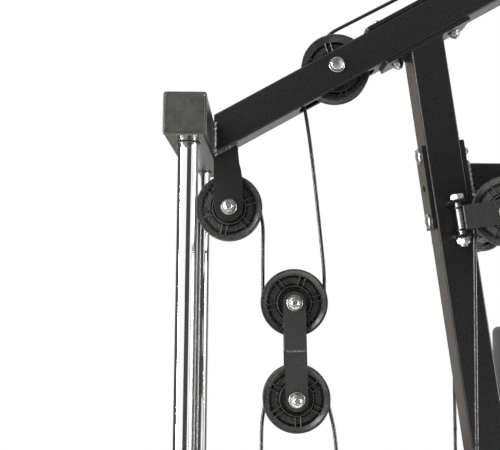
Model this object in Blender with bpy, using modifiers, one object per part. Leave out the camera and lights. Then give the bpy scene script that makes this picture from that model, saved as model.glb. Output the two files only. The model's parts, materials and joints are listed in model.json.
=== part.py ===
"""Single-stack home multi gym: head tube, sloping slotted beam, leaning upright, floating pulley block,
weight stack, butterfly arms, seat and leg lever. Metres, +Z up, +X towards the user, +Y away."""

import bpy
import bmesh
from math import asin, atan2, cos, hypot, pi, radians, sin, tau
from mathutils import Matrix, Vector

for old in list(bpy.data.objects):
    bpy.data.objects.remove(old, do_unlink=True)

# Clearances
SEAT = 0.0003  # between pieces that touch
RUN = 0.0004  # radial, shaft in its hole
SIDE = 0.0016  # beside a pulley hub, between its cheeks
WELD = 0.0005  # overlap of pieces joined for good

# Square tube stock
TUBE = 0.050
TUBE_WALL = 0.0025
TUBE_CORNER = 0.005
SLIM_TUBE = 0.038
SLIM_WALL = 0.002
PLATE = 0.005  # flange plates
STRAP = 0.004  # pulley cheeks and straps

# Base
FLOOR_CLEAR = 0.012
STABILISER_REAR = 0.64
STABILISER_FRONT = 0.56
RAIL_LENGTH = 0.985
FOOT_LENGTH = 0.030
FOOT_OVERHANG = 0.003
FOOT_LAP = 0.006
FOOT_CORNER = 0.008

# Guide rods and head tube; every height is from the floor and every X from the guide rods' plane
ROD_SPACING = 0.238
ROD_R = 0.0125
HEAD_BASE_Z = 1.680
HEAD_LENGTH = 0.331
HEAD_CAP = 0.006

# Top beam
BEAM_SLOPE = radians(29.3)
BEAM_H = 0.0475
BEAM_RISE_AT_HEAD = 0.0026
SLOT_START = 0.121
SLOT_END = 0.239
SLOT_WIDTH = 0.029
SLOT_CORNER = 0.006
FLANGE_BOLTS = (0.273, 0.3635)
FLANGE_MARGIN = 0.021
FLANGE_CORNER = 0.004
BEAM_END_GAP = 0.008  # from the beam's end cap to the front pulley's rim
EAR_R = 0.022
EAR_BACK = 0.110
CHEEK_R = 0.0195
CHEEK_REAR = 0.0215  # of the stack pulley's cheeks at the beam, from the axle
CHEEK_FRONT = 0.0100

# Upright
LEAN = radians(8.12)
UPRIGHT_D = 0.0465
UPRIGHT_AXIS_X = 0.3197
UPRIGHT_RISE = 0.1206  # of its axis over the head tube's base
UPRIGHT_AXIS_Z = HEAD_BASE_Z + UPRIGHT_RISE
CABLE_NOTCH_W = 0.020
CABLE_NOTCH_H = 0.028
BACKING_AT = 0.160  # along the upright, from its axis point down
BACKING_LENGTH = 0.1175
BACKING_WIDTH = 0.042
BACKING_CORNER = 0.002
CARRIAGE_PITCH = 0.0883
FRONT_PLATE_EXTRA = 0.015
FRONT_PLATE_CORNER = 0.003

# Pulleys
PULLEY_R = 0.0453
PULLEY_W = 0.024
GROOVE_FLOOR_R = 0.0390
GROOVE_FLOOR_W = 0.007
RIM_IN_R = 0.034
WEB_T = 0.012
HUB_R = 0.0234
HUB_W = 0.029
STRAP_W = 0.030
BLOCK_DROP = 0.020  # from the rim of the butterfly pulley to its strap's web
CABLE_R = 0.0024
CABLE_AT = GROOVE_FLOOR_R + SEAT + CABLE_R

# Bolts: pulley axles are M10, the rest M8; a flat is half the width across a head's flats
AXLE_R = 0.005
AXLE_FLAT = 0.0082
AXLE_WASHER_R = 0.0106
AXLE_HEAD_R = 0.0085
BOLT_R = 0.004
BOLT_FLAT = 0.0065
BOLT_WASHER_R = 0.0086
CARRIAGE_HEAD_R = 0.0102
BOLT_HEAD_H = 0.006
WASHER_T = 0.0015
SPACER_R = 0.008

# Pulley places in the machine's middle plane (X, Z); a drop is from the head tube's base
STEM_X = 0.005
STACK_PULLEY_DROP = 0.0677
UPPER_BLOCK_DROP = 0.1956
LOWER_BLOCK_DROP = 0.3232
STACK_PULLEY = (STEM_X + CABLE_AT, HEAD_BASE_Z - STACK_PULLEY_DROP)
BLOCK_UPPER = (0.1359, HEAD_BASE_Z - UPPER_BLOCK_DROP)
BLOCK_LOWER = (0.1397, HEAD_BASE_Z - LOWER_BLOCK_DROP)
BEAM_PULLEY_AT = 0.1924
BEAM_PULLEY_RISE = 0.0035
LAT_PULLEY_AT = 0.728
BASE_PULLEY_Z = 0.113
BASE_REAR = (0.135, BASE_PULLEY_Z)
BASE_FRONT_BACK = 0.030  # of the front base pulley from the rail's end
BASE_FRONT = (RAIL_LENGTH - BASE_FRONT_BACK, BASE_PULLEY_Z)
BUTTERFLY_PULLEY = (0.366, 0.620)
BASE_RETURN = (BUTTERFLY_PULLEY[0] - CABLE_AT, 0.190)

# Weight stack
PLATE_X = 0.110
PLATE_Y = 0.300
PLATE_T = 0.028
PLATE_GAP = 0.001
PLATE_GROOVE = 0.006
PLATE_CORNER = 0.008
ROD_HOLE_GAP = 0.0025
STEM_HOLE_GAP = 0.0020
FIXED_PLATES = 6
LIFTED_PLATES = 4
BUMPER_H = 0.038
BUMPER_WIDTH = 0.050
BUMPER_END = 0.026
TOP_PLATE_T = 0.030
BOSS_R = 0.020
BOSS_H = 0.020
STEM_R = 0.011
STEM_RISE = 0.050
STEM_TAIL = 0.010  # below the last plate, in the bumper's hole
STEM_NUT_FLAT = 0.017
STEM_NUT_H = 0.012
FERRULE_R = 0.007
PIN_R = 0.0045
PIN_CHANNEL_W = 0.012
PIN_CHANNEL_H = 0.011
PIN_CHANNEL_END = 0.012  # past the stem
PIN_PROUD = 0.006  # of the stem's front
PIN_KNOB_GAP = 0.004
PIN_KNOB_R = 0.014
PIN_KNOB_L = 0.040

# Butterfly frame, swivels and arms
FORWARD_TUBE_DROP = 0.024  # of its axis below the head tube's base
FORWARD_TUBE_Z = HEAD_BASE_Z - FORWARD_TUBE_DROP
PIVOT_X = 0.560
PIVOT_Y = 0.070
PIVOT_R = 0.006
CROSSBAR = 0.200
CAM_R = 0.055
CAM_T = 0.017
CAM_DROP = 0.030  # from here to the swivels, a drop is from the forward tube's axis
CAM_Z = FORWARD_TUBE_Z - CAM_DROP
SLEEVE_R = 0.017
CAM_RIM = 0.004
SLEEVE_DROP = 0.100
SLEEVE_BASE_Z = FORWARD_TUBE_Z - SLEEVE_DROP
SLEEVE_LIP = 0.004  # of the sleeve below the arm's tube
ARM_TUBE_R = 0.016
ARM_REACH = 0.300
ARM_BEND = 0.060
ARM_DROP = 0.420
ARM_PAD_R = 0.040
ARM_PAD_L = 0.260
ARM_PAD_RISE = 0.020  # above the tube's end
ROLL_EDGE = 0.008  # of every foam roll's soft end
HINGE_X = 0.3493
HINGE_Y = 0.050
SWIVEL_DROP = 0.060
SWIVEL_Z = FORWARD_TUBE_Z - SWIVEL_DROP
SWIVEL_REACH = 0.060
BRACKET_H = 0.049
BRACKET_BACK = 0.014
BRACKET_FRONT = 0.009
BRACKET_OUT = 0.040
BRACKET_CORNER = 0.006
HINGE_R = 0.005
HINGE_WASHER_R = 0.0100
FORK_W = 0.031
FORK_WEB = HINGE_R + 3 * RUN  # from the hinge's axis
FORK_TAB = (0.020, 0.018, 0.003)

# Seat, back and leg lever
SEAT_RAIL_Z = 0.395
SEAT_RAIL_PAST = 0.025  # the base rail's length, which the seat rail's end follows
SEAT_RAIL_END = RAIL_LENGTH + SEAT_RAIL_PAST
SEAT_RAIL_LAP = 0.140  # of the post's middle from the seat rail's end
POST_X = SEAT_RAIL_END - SEAT_RAIL_LAP
SEAT_PAD_FRONT = 0.020  # from the seat rail's end
SEAT_PAD_REAR = 0.590
SEAT_PAD_L = SEAT_RAIL_END - SEAT_PAD_FRONT - SEAT_PAD_REAR
SEAT_PAD_W = 0.300
SEAT_PAD_H = 0.060
SEAT_PAD_X = SEAT_PAD_REAR + SEAT_PAD_L / 2
BACK_PAD_W = 0.260
BACK_PAD_L = 0.600
BACK_PAD_H = 0.055
BACK_PAD_Z = 0.860
CROWN_POWER = 7
BACK_SHARE = 0.36  # of a cushion's height that lies below its widest line
LEVER_GAP = 0.011  # from the seat rail's end
LEVER_X = SEAT_RAIL_END + LEVER_GAP + SLIM_TUBE / 2
LEVER_TOP_Z = 0.420
LEVER_BASE_Z = 0.105
LEVER_ROD_Z = 0.145
ROLLER_ROD_R = 0.010
ROLLER_R = 0.045
ROLLER_L = 0.140
ROLLER_IN = 0.055
ROD_PROUD = 0.005  # of the outer rollers' ends
EAR_LENGTH = 0.110
EAR_INSET = 0.002  # of the lever's ears from the rail's top and bottom
HOOK_TAB_R = 0.009
HOOK_TAB_OUT = 0.012
HOOK_HOLE_R = 0.004
HOOK_RISE = 0.025  # above the lower roller rod
HOOK_GAP = 0.003

# Lat bar
LAT_BAR_R = 0.0125
LAT_BAR_HALF = 0.540
LAT_BAR_DROP = 0.110
LAT_BAR_RISE = 0.170  # over the head tube's base
LAT_BAR_Z = HEAD_BASE_Z + LAT_BAR_RISE
LAT_BAR_BEND = 0.180  # from the bar's end to the middle of its bend
TAB_R = 0.016
TAB_T = 0.006
LINK_R = 0.003
LINK_H = 0.050
LINK_W = 0.024
GRIP_L = 0.130
GRIP_T = 0.003


def vec(x, y, z):
    return Vector((x, y, z))


X, Y, Z = vec(1, 0, 0), vec(0, 1, 0), vec(0, 0, 1)
BEAM_U = vec(cos(BEAM_SLOPE), 0, sin(BEAM_SLOPE))
BEAM_W = vec(-sin(BEAM_SLOPE), 0, cos(BEAM_SLOPE))
UP_W = vec(-sin(LEAN), 0, cos(LEAN))  # up along the upright
UP_U = vec(cos(LEAN), 0, sin(LEAN))  # square to it, forwards

BASE_TOP = FLOOR_CLEAR + TUBE
HEAD_Z = HEAD_BASE_Z + TUBE / 2
BEAM_ORIGIN = vec(
    TUBE / 2 + SEAT, 0, HEAD_BASE_Z + BEAM_RISE_AT_HEAD + BEAM_H / 2 / cos(BEAM_SLOPE)
)
UPRIGHT_TOP = vec(UPRIGHT_AXIS_X, 0, UPRIGHT_AXIS_Z)
STACK_BASE = BASE_TOP + BUMPER_H + 2 * SEAT
PITCH = PLATE_T + PLATE_GAP
PLATES = FIXED_PLATES + LIFTED_PLATES
CHEEK_IN = HUB_W / 2 + SIDE


def beam_point(along, rise=0.0, aside=0.0):
    return BEAM_ORIGIN + along * BEAM_U + rise * BEAM_W + aside * Y


def upright_point(down, out=0.0, aside=0.0):
    return UPRIGHT_TOP - down * UP_W + out * UP_U + aside * Y


def frame(origin, x_axis, y_axis):
    """Matrix that puts a local XY outline at origin, along two square directions."""
    x_axis, y_axis = x_axis.normalized(), y_axis.normalized()
    rotation = Matrix((x_axis, y_axis, x_axis.cross(y_axis))).transposed()
    return Matrix.Translation(origin) @ rotation.to_4x4()


def material(name, colour, roughness, metallic=0.0):
    found = bpy.data.materials.new(name)
    found.use_nodes = True
    shader = found.node_tree.nodes["Principled BSDF"]
    shader.inputs["Base Color"].default_value = (*colour, 1.0)
    shader.inputs["Roughness"].default_value = roughness
    shader.inputs["Metallic"].default_value = metallic
    return found


POWDER = material("powder_coat", (0.021, 0.021, 0.022), 0.55)
CHROME = material("chrome", (0.80, 0.80, 0.80), 0.08, 1.0)
ZINC = material("zinc", (0.62, 0.63, 0.62), 0.30, 1.0)
NYLON = material("nylon", (0.018, 0.018, 0.018), 0.40)
CAP_PLASTIC = material("cap_plastic", (0.090, 0.093, 0.083), 0.50)
RUBBER = material("rubber", (0.012, 0.012, 0.012), 0.75)
CABLE = material("cable_sheath", (0.012, 0.012, 0.013), 0.35)
IRON = material("cast_iron", (0.045, 0.045, 0.048), 0.50, 0.2)
VINYL = material("vinyl", (0.020, 0.020, 0.022), 0.42)
FOAM = material("foam", (0.016, 0.016, 0.016), 0.90)

PARTS = bpy.data.collections.new("multi_gym")
CUTTERS = bpy.data.collections.new("cutters")
bpy.context.scene.collection.children.link(PARTS)
bpy.context.scene.collection.children.link(CUTTERS)


def evaluated(obj):
    """The mesh of an object with its modifiers, welded; the object is removed."""
    bpy.context.view_layer.update()
    graph = bpy.context.evaluated_depsgraph_get()
    mesh = bpy.data.meshes.new_from_object(obj.evaluated_get(graph))
    bpy.data.objects.remove(obj, do_unlink=True)
    work = bmesh.new()
    work.from_mesh(mesh)
    bmesh.ops.remove_doubles(work, verts=work.verts, dist=1e-6)
    work.to_mesh(mesh)
    work.free()
    return mesh


def placed(mesh, matrix):
    mesh.transform(matrix)
    return mesh


def outward(mesh):
    work = bmesh.new()
    work.from_mesh(mesh)
    bmesh.ops.recalc_face_normals(work, faces=work.faces)
    work.to_mesh(mesh)
    work.free()
    return mesh


def extruded(outlines, depth):
    """Flat outline with any holes, in local XY, as thick as depth about z = 0."""
    curve = bpy.data.curves.new("outline", "CURVE")
    curve.dimensions = "2D"
    curve.fill_mode = "BOTH"
    curve.extrude = depth / 2
    for points in outlines:
        spline = curve.splines.new("POLY")
        spline.points.add(len(points) - 1)
        for target, (x, y) in zip(spline.points, points):
            target.co = (x, y, 0, 1)
        spline.use_cyclic_u = True
    obj = bpy.data.objects.new("outline", curve)
    CUTTERS.objects.link(obj)
    return outward(evaluated(obj))


def turned(profile, steps):
    """Closed profile of (radius, z), down its outer side first, turned about Z."""
    mesh = bpy.data.meshes.new("profile")
    points = [(r, 0, z) for r, z in profile]
    count = len(points)
    mesh.from_pydata(points, [(i, (i + 1) % count) for i in range(count)], [])
    obj = bpy.data.objects.new("profile", mesh)
    CUTTERS.objects.link(obj)
    screw = obj.modifiers.new("screw", "SCREW")
    screw.steps = screw.render_steps = steps
    screw.use_merge_vertices = True
    screw.merge_threshold = 1e-5
    return evaluated(obj)


def pipe(points, radius, resolution=1):
    """Round tube of solid section along points."""
    curve = bpy.data.curves.new("pipe", "CURVE")
    curve.dimensions = "3D"
    curve.bevel_depth = radius
    curve.bevel_resolution = resolution
    curve.use_fill_caps = True
    spline = curve.splines.new("POLY")
    spline.points.add(len(points) - 1)
    for target, point in zip(spline.points, points):
        target.co = (*point, 1)
    obj = bpy.data.objects.new("pipe", curve)
    CUTTERS.objects.link(obj)
    return outward(evaluated(obj))


def drum(radius, length, sides=24):
    work = bmesh.new()
    bmesh.ops.create_cone(
        work, cap_ends=True, segments=sides, radius1=radius, radius2=radius, depth=length
    )
    mesh = bpy.data.meshes.new("drum")
    work.to_mesh(mesh)
    work.free()
    return mesh


def block(size):
    work = bmesh.new()
    bmesh.ops.create_cube(work, size=1.0)
    bmesh.ops.scale(work, vec=size, verts=work.verts)
    mesh = bpy.data.meshes.new("block")
    work.to_mesh(mesh)
    work.free()
    return mesh


def stepped(sections, sides=12):
    """Loft along Z between sections of (z, radius, hexagonal)."""
    work = bmesh.new()
    rings = []
    for z, radius, hexagonal in sections:
        ring = []
        for i in range(sides):
            angle = tau * i / sides
            flat = (angle + pi / 6) % (pi / 3) - pi / 6
            reach = radius / cos(flat) if hexagonal else radius
            ring.append(work.verts.new((reach * cos(angle), reach * sin(angle), z)))
        rings.append(ring)
    for low, high in zip(rings, rings[1:]):
        for i in range(sides):
            j = (i + 1) % sides
            work.faces.new((low[i], low[j], high[j], high[i]))
    work.faces.new(rings[0][::-1])
    work.faces.new(rings[-1])
    bmesh.ops.recalc_face_normals(work, faces=work.faces)
    mesh = bpy.data.meshes.new("stepped")
    work.to_mesh(mesh)
    work.free()
    return mesh


def joined(meshes):
    """Several separate solids in one mesh."""
    work = bmesh.new()
    for mesh in meshes:
        work.from_mesh(mesh)
    mesh = bpy.data.meshes.new("joined")
    work.to_mesh(mesh)
    work.free()
    return mesh


def combined(operation, base, others):
    """Exact Boolean of a mesh with each of the others in turn."""
    obj = bpy.data.objects.new("base", base)
    CUTTERS.objects.link(obj)
    cutters = []
    for other in others:
        cutter = bpy.data.objects.new("cutter", other)
        cutter.hide_render = True
        cutter.display_type = "WIRE"
        CUTTERS.objects.link(cutter)
        modifier = obj.modifiers.new("boolean", "BOOLEAN")
        modifier.operation = operation
        modifier.solver = "EXACT"
        modifier.object = cutter
        cutters.append(cutter)
    result = evaluated(obj)
    for cutter in cutters:
        bpy.data.objects.remove(cutter, do_unlink=True)
    return result


def cut(base, *others):
    return combined("DIFFERENCE", base, others)


def union(base, *others):
    return combined("UNION", base, others)


def common(base, other):
    return combined("INTERSECT", base, [other])


def arc(centre, radius, start, end, steps):
    """Points of an arc between two angles in degrees, both ends included."""
    angles = [radians(start + (end - start) * i / steps) for i in range(steps + 1)]
    return [(centre[0] + radius * cos(a), centre[1] + radius * sin(a)) for a in angles]


def circle(radius, centre=(0, 0), sides=12):
    return arc(centre, radius, 0, 360, sides)[:-1]


def rounded(width, height, radius, steps=2):
    """Rectangle about the origin with round corners."""
    points = []
    for k, (sx, sy) in enumerate([(1, 1), (-1, 1), (-1, -1), (1, -1)]):
        centre = (sx * (width / 2 - radius), sy * (height / 2 - radius))
        points += arc(centre, radius, 90 * k, 90 * k + 90, steps)
    return points


def rectangle(x0, x1, y0, y1):
    return [(x0, y0), (x1, y0), (x1, y1), (x0, y1)]


def square_tube(start, end, across, width=TUBE, depth=TUBE, wall=TUBE_WALL):
    """Hollow tube from start to end: width along across, depth square to it."""
    along = end - start
    outlines = [
        rounded(width, depth, TUBE_CORNER),
        rounded(width - 2 * wall, depth - 2 * wall, TUBE_CORNER - wall),
    ]
    mesh = extruded(outlines, along.length)
    return placed(mesh, frame((start + end) / 2, across, along.cross(across)))


def cut_beyond(mesh, point, normal):
    """Takes away what lies past a plane."""
    reach = 0.4
    normal = normal.normalized()
    box = placed(block((reach, reach, reach)), frame(point + normal * reach / 2, Y.cross(normal), Y))
    return cut(mesh, box)


def bore(radius, length=2 * TUBE):
    """Eight-sided cutter that clears a round shank all the way round."""
    return drum((radius + RUN) / cos(pi / 8), length, 8)


def bolt(near, far, radius, washer_r, flat, gaps=(SEAT, SEAT), domed=False, spaced=False):
    """Bolt from a near face to a far face along local Z (near is lower), with head, washers and nut.
    Where it is spaced, sleeves fill the shank out from a pulley's hub to the tube's inner walls."""
    washer, head = WASHER_T, BOLT_HEAD_H
    low, high = near - gaps[0], far + gaps[1]
    if domed:
        sections = [
            (low - head * 0.75, washer_r * 0.35, False),
            (low - head * 0.55, washer_r * 0.72, False),
        ]
    else:
        sections = [
            (low - washer - head, flat * 0.86, True),
            (low - washer - head * 0.8, flat, True),
            (low - washer, flat, True),
        ]
    sections += [
        (low - washer, washer_r, False),
        (low, washer_r, False),
        (low, radius, False),
    ]
    if spaced:
        hub = HUB_W / 2 + SEAT
        wall = SIDE + PLATE
        for start, end in ((near + wall, -hub), (hub, far - wall)):
            sections += [
                (start, radius, False),
                (start, SPACER_R, False),
                (end, SPACER_R, False),
                (end, radius, False),
            ]
    sections += [
        (high, radius, False),
        (high, washer_r, False),
        (high + washer, washer_r, False),
        (high + washer, flat, True),
        (high + washer + head, flat * 0.92, True),
    ]
    return stepped(sections)


def body(name, origin):
    """Empty on a joint's axis, which its moving pieces hang from."""
    empty = bpy.data.objects.new(name, None)
    empty.parent = GYM
    empty.location = origin
    PARTS.objects.link(empty)
    return empty


GYM = bpy.data.objects.new("gym", None)
PARTS.objects.link(GYM)


def add(name, mesh, finish, parent=None, matrix=None):
    """Named piece. A mesh in the machine's own coordinates is moved to its body's origin first."""
    parent = parent or GYM
    if matrix is None:
        mesh = placed(mesh.copy(), Matrix.Translation(-parent.location)) if parent != GYM else mesh
    mesh.materials.clear()
    mesh.materials.append(finish)
    obj = bpy.data.objects.new(name, mesh)
    obj.parent = parent
    if matrix is not None:
        obj.matrix_local = matrix
    PARTS.objects.link(obj)
    mesh.shade_smooth()
    mesh.set_sharp_from_angle(angle=radians(30))
    return obj


def in_plane(origin):
    """Place of a plate that faces across the machine: local x forwards, y up."""
    return frame(origin, X, Z)


# Base

def stabiliser(x, length):
    """Cross tube with a moulded foot on each end."""
    middle = BASE_TOP - TUBE / 2
    tube = square_tube(vec(x, -length / 2, middle), vec(x, length / 2, middle), X)
    feet = []
    height = BASE_TOP + FOOT_OVERHANG
    for side in (-1, 1):
        foot = extruded([rounded(TUBE + 2 * FOOT_OVERHANG, height, FOOT_CORNER)], FOOT_LENGTH)
        y = side * (length / 2 + FOOT_LENGTH / 2 - FOOT_LAP)
        feet.append(placed(foot, in_plane(vec(x, y, height / 2))))
    return union(tube, *feet)


def base():
    rods = [
        placed(drum(ROD_R + SEAT, TUBE, 16), Matrix.Translation(vec(0, side * ROD_SPACING / 2, BASE_TOP)))
        for side in (-1, 1)
    ]
    add("rear_stabiliser", cut(stabiliser(0, STABILISER_REAR), *rods), POWDER)
    front_x = RAIL_LENGTH + TUBE
    middle = BASE_TOP - TUBE / 2
    hole = placed(bore(BOLT_R), frame(vec(front_x, 0, middle), Y, Z))
    add("front_stabiliser", cut(stabiliser(front_x, STABILISER_FRONT), hole), POWDER)
    start = vec(TUBE / 2 + SEAT, 0, middle)
    end = vec(front_x - TUBE / 2 - SEAT, 0, middle)
    rail = square_tube(start, end, Y)
    pulley_posts = []
    for x, z in (BASE_REAR, BASE_RETURN, BASE_FRONT):
        foot = BASE_TOP - WELD - z
        outline = arc((0, 0), STRAP_W / 2, 0, 180, 8) + [(-STRAP_W / 2, foot), (STRAP_W / 2, foot)]
        for side in (-1, 1):
            cheek = extruded([outline], STRAP)
            pulley_posts.append(placed(cheek, in_plane(vec(x, side * (CHEEK_IN + STRAP / 2), z))))
        pulley_posts.append(placed(fixed_axle(), across(vec(x, 0, z))))
    add("base_rail", union(rail, *pulley_posts), POWDER)


def rods_and_head():
    wall_top = HEAD_BASE_Z + TUBE - TUBE_WALL - SEAT
    wall_base = FLOOR_CLEAR + TUBE_WALL + SEAT
    for name, side in (("guide_rod_near", -1), ("guide_rod_far", 1)):
        y = side * ROD_SPACING / 2
        rod = drum(ROD_R, wall_top - wall_base, 24)
        add(name, placed(rod, Matrix.Translation(vec(0, y, (wall_top + wall_base) / 2))), CHROME)
    length = ROD_SPACING + 2 * BUMPER_END
    holes = [circle(ROD_R + RUN, (0, side * ROD_SPACING / 2), 16) for side in (-1, 1)]
    holes.append(circle(STEM_R + 2 * STEM_HOLE_GAP, (STEM_X, 0), 16))
    bumper = extruded([rounded(BUMPER_WIDTH, length, BUMPER_WIDTH * 0.45, 4)] + holes, BUMPER_H)
    centre = vec(0, 0, BASE_TOP + SEAT + BUMPER_H / 2)
    add("stack_bumper", placed(bumper, Matrix.Translation(centre)), RUBBER)
    half = HEAD_LENGTH / 2
    tube = square_tube(vec(0, -half, HEAD_Z), vec(0, half, HEAD_Z), X)
    holes = [
        placed(drum(ROD_R + SEAT, TUBE, 24), Matrix.Translation(vec(0, side * ROD_SPACING / 2, HEAD_BASE_Z)))
        for side in (-1, 1)
    ]
    add("head_tube", cut(tube, *holes), POWDER)
    for name, side in (("near", -1), ("far", 1)):
        lip = extruded([rounded(TUBE + 0.001, TUBE + 0.001, TUBE_CORNER)], HEAD_CAP)
        y = side * (half + SEAT + HEAD_CAP / 2)
        add("head_cap_" + name, placed(lip, in_plane(vec(0, y, HEAD_Z))), CAP_PLASTIC)


# Beam

def beam():
    """Beam with the cheeks of its first and last pulleys welded on."""
    end_at = LAT_PULLEY_AT - PULLEY_R - BEAM_END_GAP
    tube = square_tube(beam_point(-0.03), beam_point(end_at), Y, TUBE, BEAM_H)
    tube = cut_beyond(tube, vec(TUBE / 2 + SEAT, 0, HEAD_Z), -X)
    lip = [rounded(TUBE - 2 * WELD, BEAM_H - 2 * WELD, TUBE_CORNER)]
    cap = placed(extruded(lip, PLATE), frame(beam_point(end_at), Y, BEAM_W))
    slot_length = SLOT_END - SLOT_START
    slot = extruded([rounded(slot_length, SLOT_WIDTH, SLOT_CORNER)], 2 * TUBE)
    slot = placed(slot, frame(beam_point((SLOT_START + SLOT_END) / 2), BEAM_U, Y))
    axle_at = frame(beam_point(BEAM_PULLEY_AT, BEAM_PULLEY_RISE), BEAM_U, BEAM_W)
    bores = [placed(bore(AXLE_R), axle_at)]
    for at in FLANGE_BOLTS:
        bores.append(placed(bore(BOLT_R), frame(beam_point(at), BEAM_U, Y)))
    tube = cut(tube, slot, *bores)
    add("top_beam", union(tube, cap, *stack_pulley_cheeks(), *lat_pulley_ears()), POWDER)


def lat_pulley_ears():
    """Ears for the front pulley, one on each side of the beam, and the axle that joins them."""
    outline = arc((0, 0), EAR_R, -90, 90, 8) + [(-EAR_BACK, EAR_R), (-EAR_BACK, -EAR_R)]
    ears = []
    for side in (-1, 1):
        centre = beam_point(LAT_PULLEY_AT, 0, side * (TUBE / 2 - WELD + STRAP / 2))
        ears.append(placed(extruded([outline], STRAP), frame(centre, BEAM_U, BEAM_W)))
    axis = frame(beam_point(LAT_PULLEY_AT), BEAM_U, BEAM_W)
    ears.append(placed(fixed_axle(TUBE / 2 - WELD + STRAP), axis))
    return ears


def stack_pulley_cheeks():
    """Two cheeks welded under the beam where it meets the head tube."""
    x, z = STACK_PULLEY
    slope = BEAM_U.z / BEAM_U.x
    under = beam_point(0, -BEAM_H / 2)

    def beneath(at):
        return under.z + (x + at - under.x) * slope + WELD - z

    outline = arc((0, 0), CHEEK_R, 180, 360, 10)
    outline += [(CHEEK_R - 0.0015, 2 * CHEEK_R), (CHEEK_R - 0.006, 3 * CHEEK_R)]
    outline += [(CHEEK_FRONT, beneath(CHEEK_FRONT)), (-CHEEK_REAR, beneath(-CHEEK_REAR))]
    cheeks = []
    for side in (-1, 1):
        cheek = extruded([outline, circle(AXLE_R + RUN)], STRAP)
        cheeks.append(placed(cheek, in_plane(vec(x, side * (CHEEK_IN + STRAP / 2), z))))
    return cheeks


def clamp_plate():
    """Plate on the beam's top face with the two flange bolts through it."""
    length = FLANGE_BOLTS[1] - FLANGE_BOLTS[0] + 2 * FLANGE_MARGIN
    middle = sum(FLANGE_BOLTS) / 2
    rise = BEAM_H / 2 + SEAT + PLATE / 2
    plate = extruded([rounded(length, TUBE, FLANGE_CORNER)], PLATE)
    plate = placed(plate, frame(beam_point(middle, rise), BEAM_U, Y))
    reach = BEAM_H / 2 + SEAT + PLATE
    bolts = []
    for at in FLANGE_BOLTS:
        through = bolt(-reach, reach, BOLT_R, BOLT_WASHER_R, BOLT_FLAT, gaps=(SEAT, -WELD))
        bolts.append(placed(through, frame(beam_point(at), BEAM_U, Y)))
    add("beam_clamp_plate", union(plate, *bolts), POWDER)


# Upright and what is bolted to it

def upright():
    flange_rise = -(BEAM_H / 2 + SEAT + PLATE / 2)
    middle = sum(FLANGE_BOLTS) / 2
    length = FLANGE_BOLTS[1] - FLANGE_BOLTS[0] + 2 * FLANGE_MARGIN
    holes = [circle(BOLT_R + RUN, (at - middle, 0)) for at in FLANGE_BOLTS]
    flange = placed(
        extruded([rounded(length, TUBE, FLANGE_CORNER)] + holes, PLATE),
        frame(beam_point(middle, flange_rise), BEAM_U, Y),
    )
    long = UPRIGHT_AXIS_Z / cos(LEAN) + 0.05
    tube = square_tube(upright_point(long), upright_point(-0.06), Y, TUBE, UPRIGHT_D)
    tube = cut_beyond(tube, beam_point(middle, flange_rise), BEAM_W)
    foot_x = UPRIGHT_AXIS_X + (UPRIGHT_AXIS_Z - BASE_TOP) * sin(LEAN) / cos(LEAN)
    tube = cut_beyond(tube, vec(foot_x, 0, BASE_TOP + SEAT), -Z)
    post = union(tube, flange)
    notch = placed(
        block((2 * TUBE, CABLE_NOTCH_W, CABLE_NOTCH_H)),
        Matrix.Translation(vec(foot_x, 0, BASE_TOP + CABLE_NOTCH_H / 2)),
    )
    bores = [placed(bore(BOLT_R), frame(upright_point(down), Y, UP_W)) for down in carriage_places()]
    add("upright", cut(post, notch, *bores), POWDER)


def backing_plate():
    """Plate on the upright's rear face with the two carriage bolts through it."""
    outlines = [rounded(BACKING_WIDTH, BACKING_LENGTH, BACKING_CORNER, 1), circle(AXLE_R + RUN)]
    centre = upright_point(BACKING_AT, -UPRIGHT_D / 2 - SEAT - PLATE / 2)
    plate = placed(extruded(outlines, PLATE), frame(centre, Y, UP_W))
    reach = UPRIGHT_D / 2 + SEAT + PLATE
    bolts = []
    for down in carriage_places():
        through = bolt(-reach, reach, BOLT_R, CARRIAGE_HEAD_R, BOLT_FLAT, gaps=(-WELD, SEAT), domed=True)
        bolts.append(placed(through, frame(upright_point(down), Y, UP_W)))
    add("upright_backing_plate", union(plate, *bolts), POWDER)


def carriage_places():
    return [BACKING_AT - CARRIAGE_PITCH / 2, BACKING_AT + CARRIAGE_PITCH / 2]


def butterfly_frame():
    """Front flange, forward tube and crossbar, welded together."""
    holes = [circle(BOLT_R + RUN, (0, BACKING_AT - down)) for down in carriage_places() + [BACKING_AT]]
    outline = rounded(TUBE, BACKING_LENGTH + FRONT_PLATE_EXTRA, FRONT_PLATE_CORNER, 1)
    plate = extruded([outline] + holes, PLATE)
    face = UPRIGHT_D / 2 + SEAT + PLATE / 2
    plate = placed(plate, frame(upright_point(BACKING_AT, face), Y, UP_W))
    start = vec(upright_point(BACKING_AT, face).x - 0.02, 0, FORWARD_TUBE_Z)
    end = vec(PIVOT_X, 0, FORWARD_TUBE_Z)
    tube = square_tube(start, end, Y, SLIM_TUBE, SLIM_TUBE, SLIM_WALL)
    tube = cut_beyond(tube, upright_point(BACKING_AT, face), -UP_U)
    half = CROSSBAR / 2
    bar = square_tube(
        vec(PIVOT_X, -half, FORWARD_TUBE_Z), vec(PIVOT_X, half, FORWARD_TUBE_Z), X,
        SLIM_TUBE, SLIM_TUBE, SLIM_WALL,
    )
    welded = union(bar, tube, plate)
    pins = [
        placed(bore(PIVOT_R), Matrix.Translation(vec(PIVOT_X, side * PIVOT_Y, FORWARD_TUBE_Z)))
        for side in (-1, 1)
    ]
    add("butterfly_frame", cut(welded, *pins), POWDER)


def swivel_matrix(side, turn=0.0):
    """Machine coordinates of a swivel: local x forwards, y away, z up its hinge."""
    base_frame = frame(vec(HINGE_X, side * HINGE_Y, SWIVEL_Z), UP_U, Y)
    return base_frame @ Matrix.Rotation(turn, 4, "Z")


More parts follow.
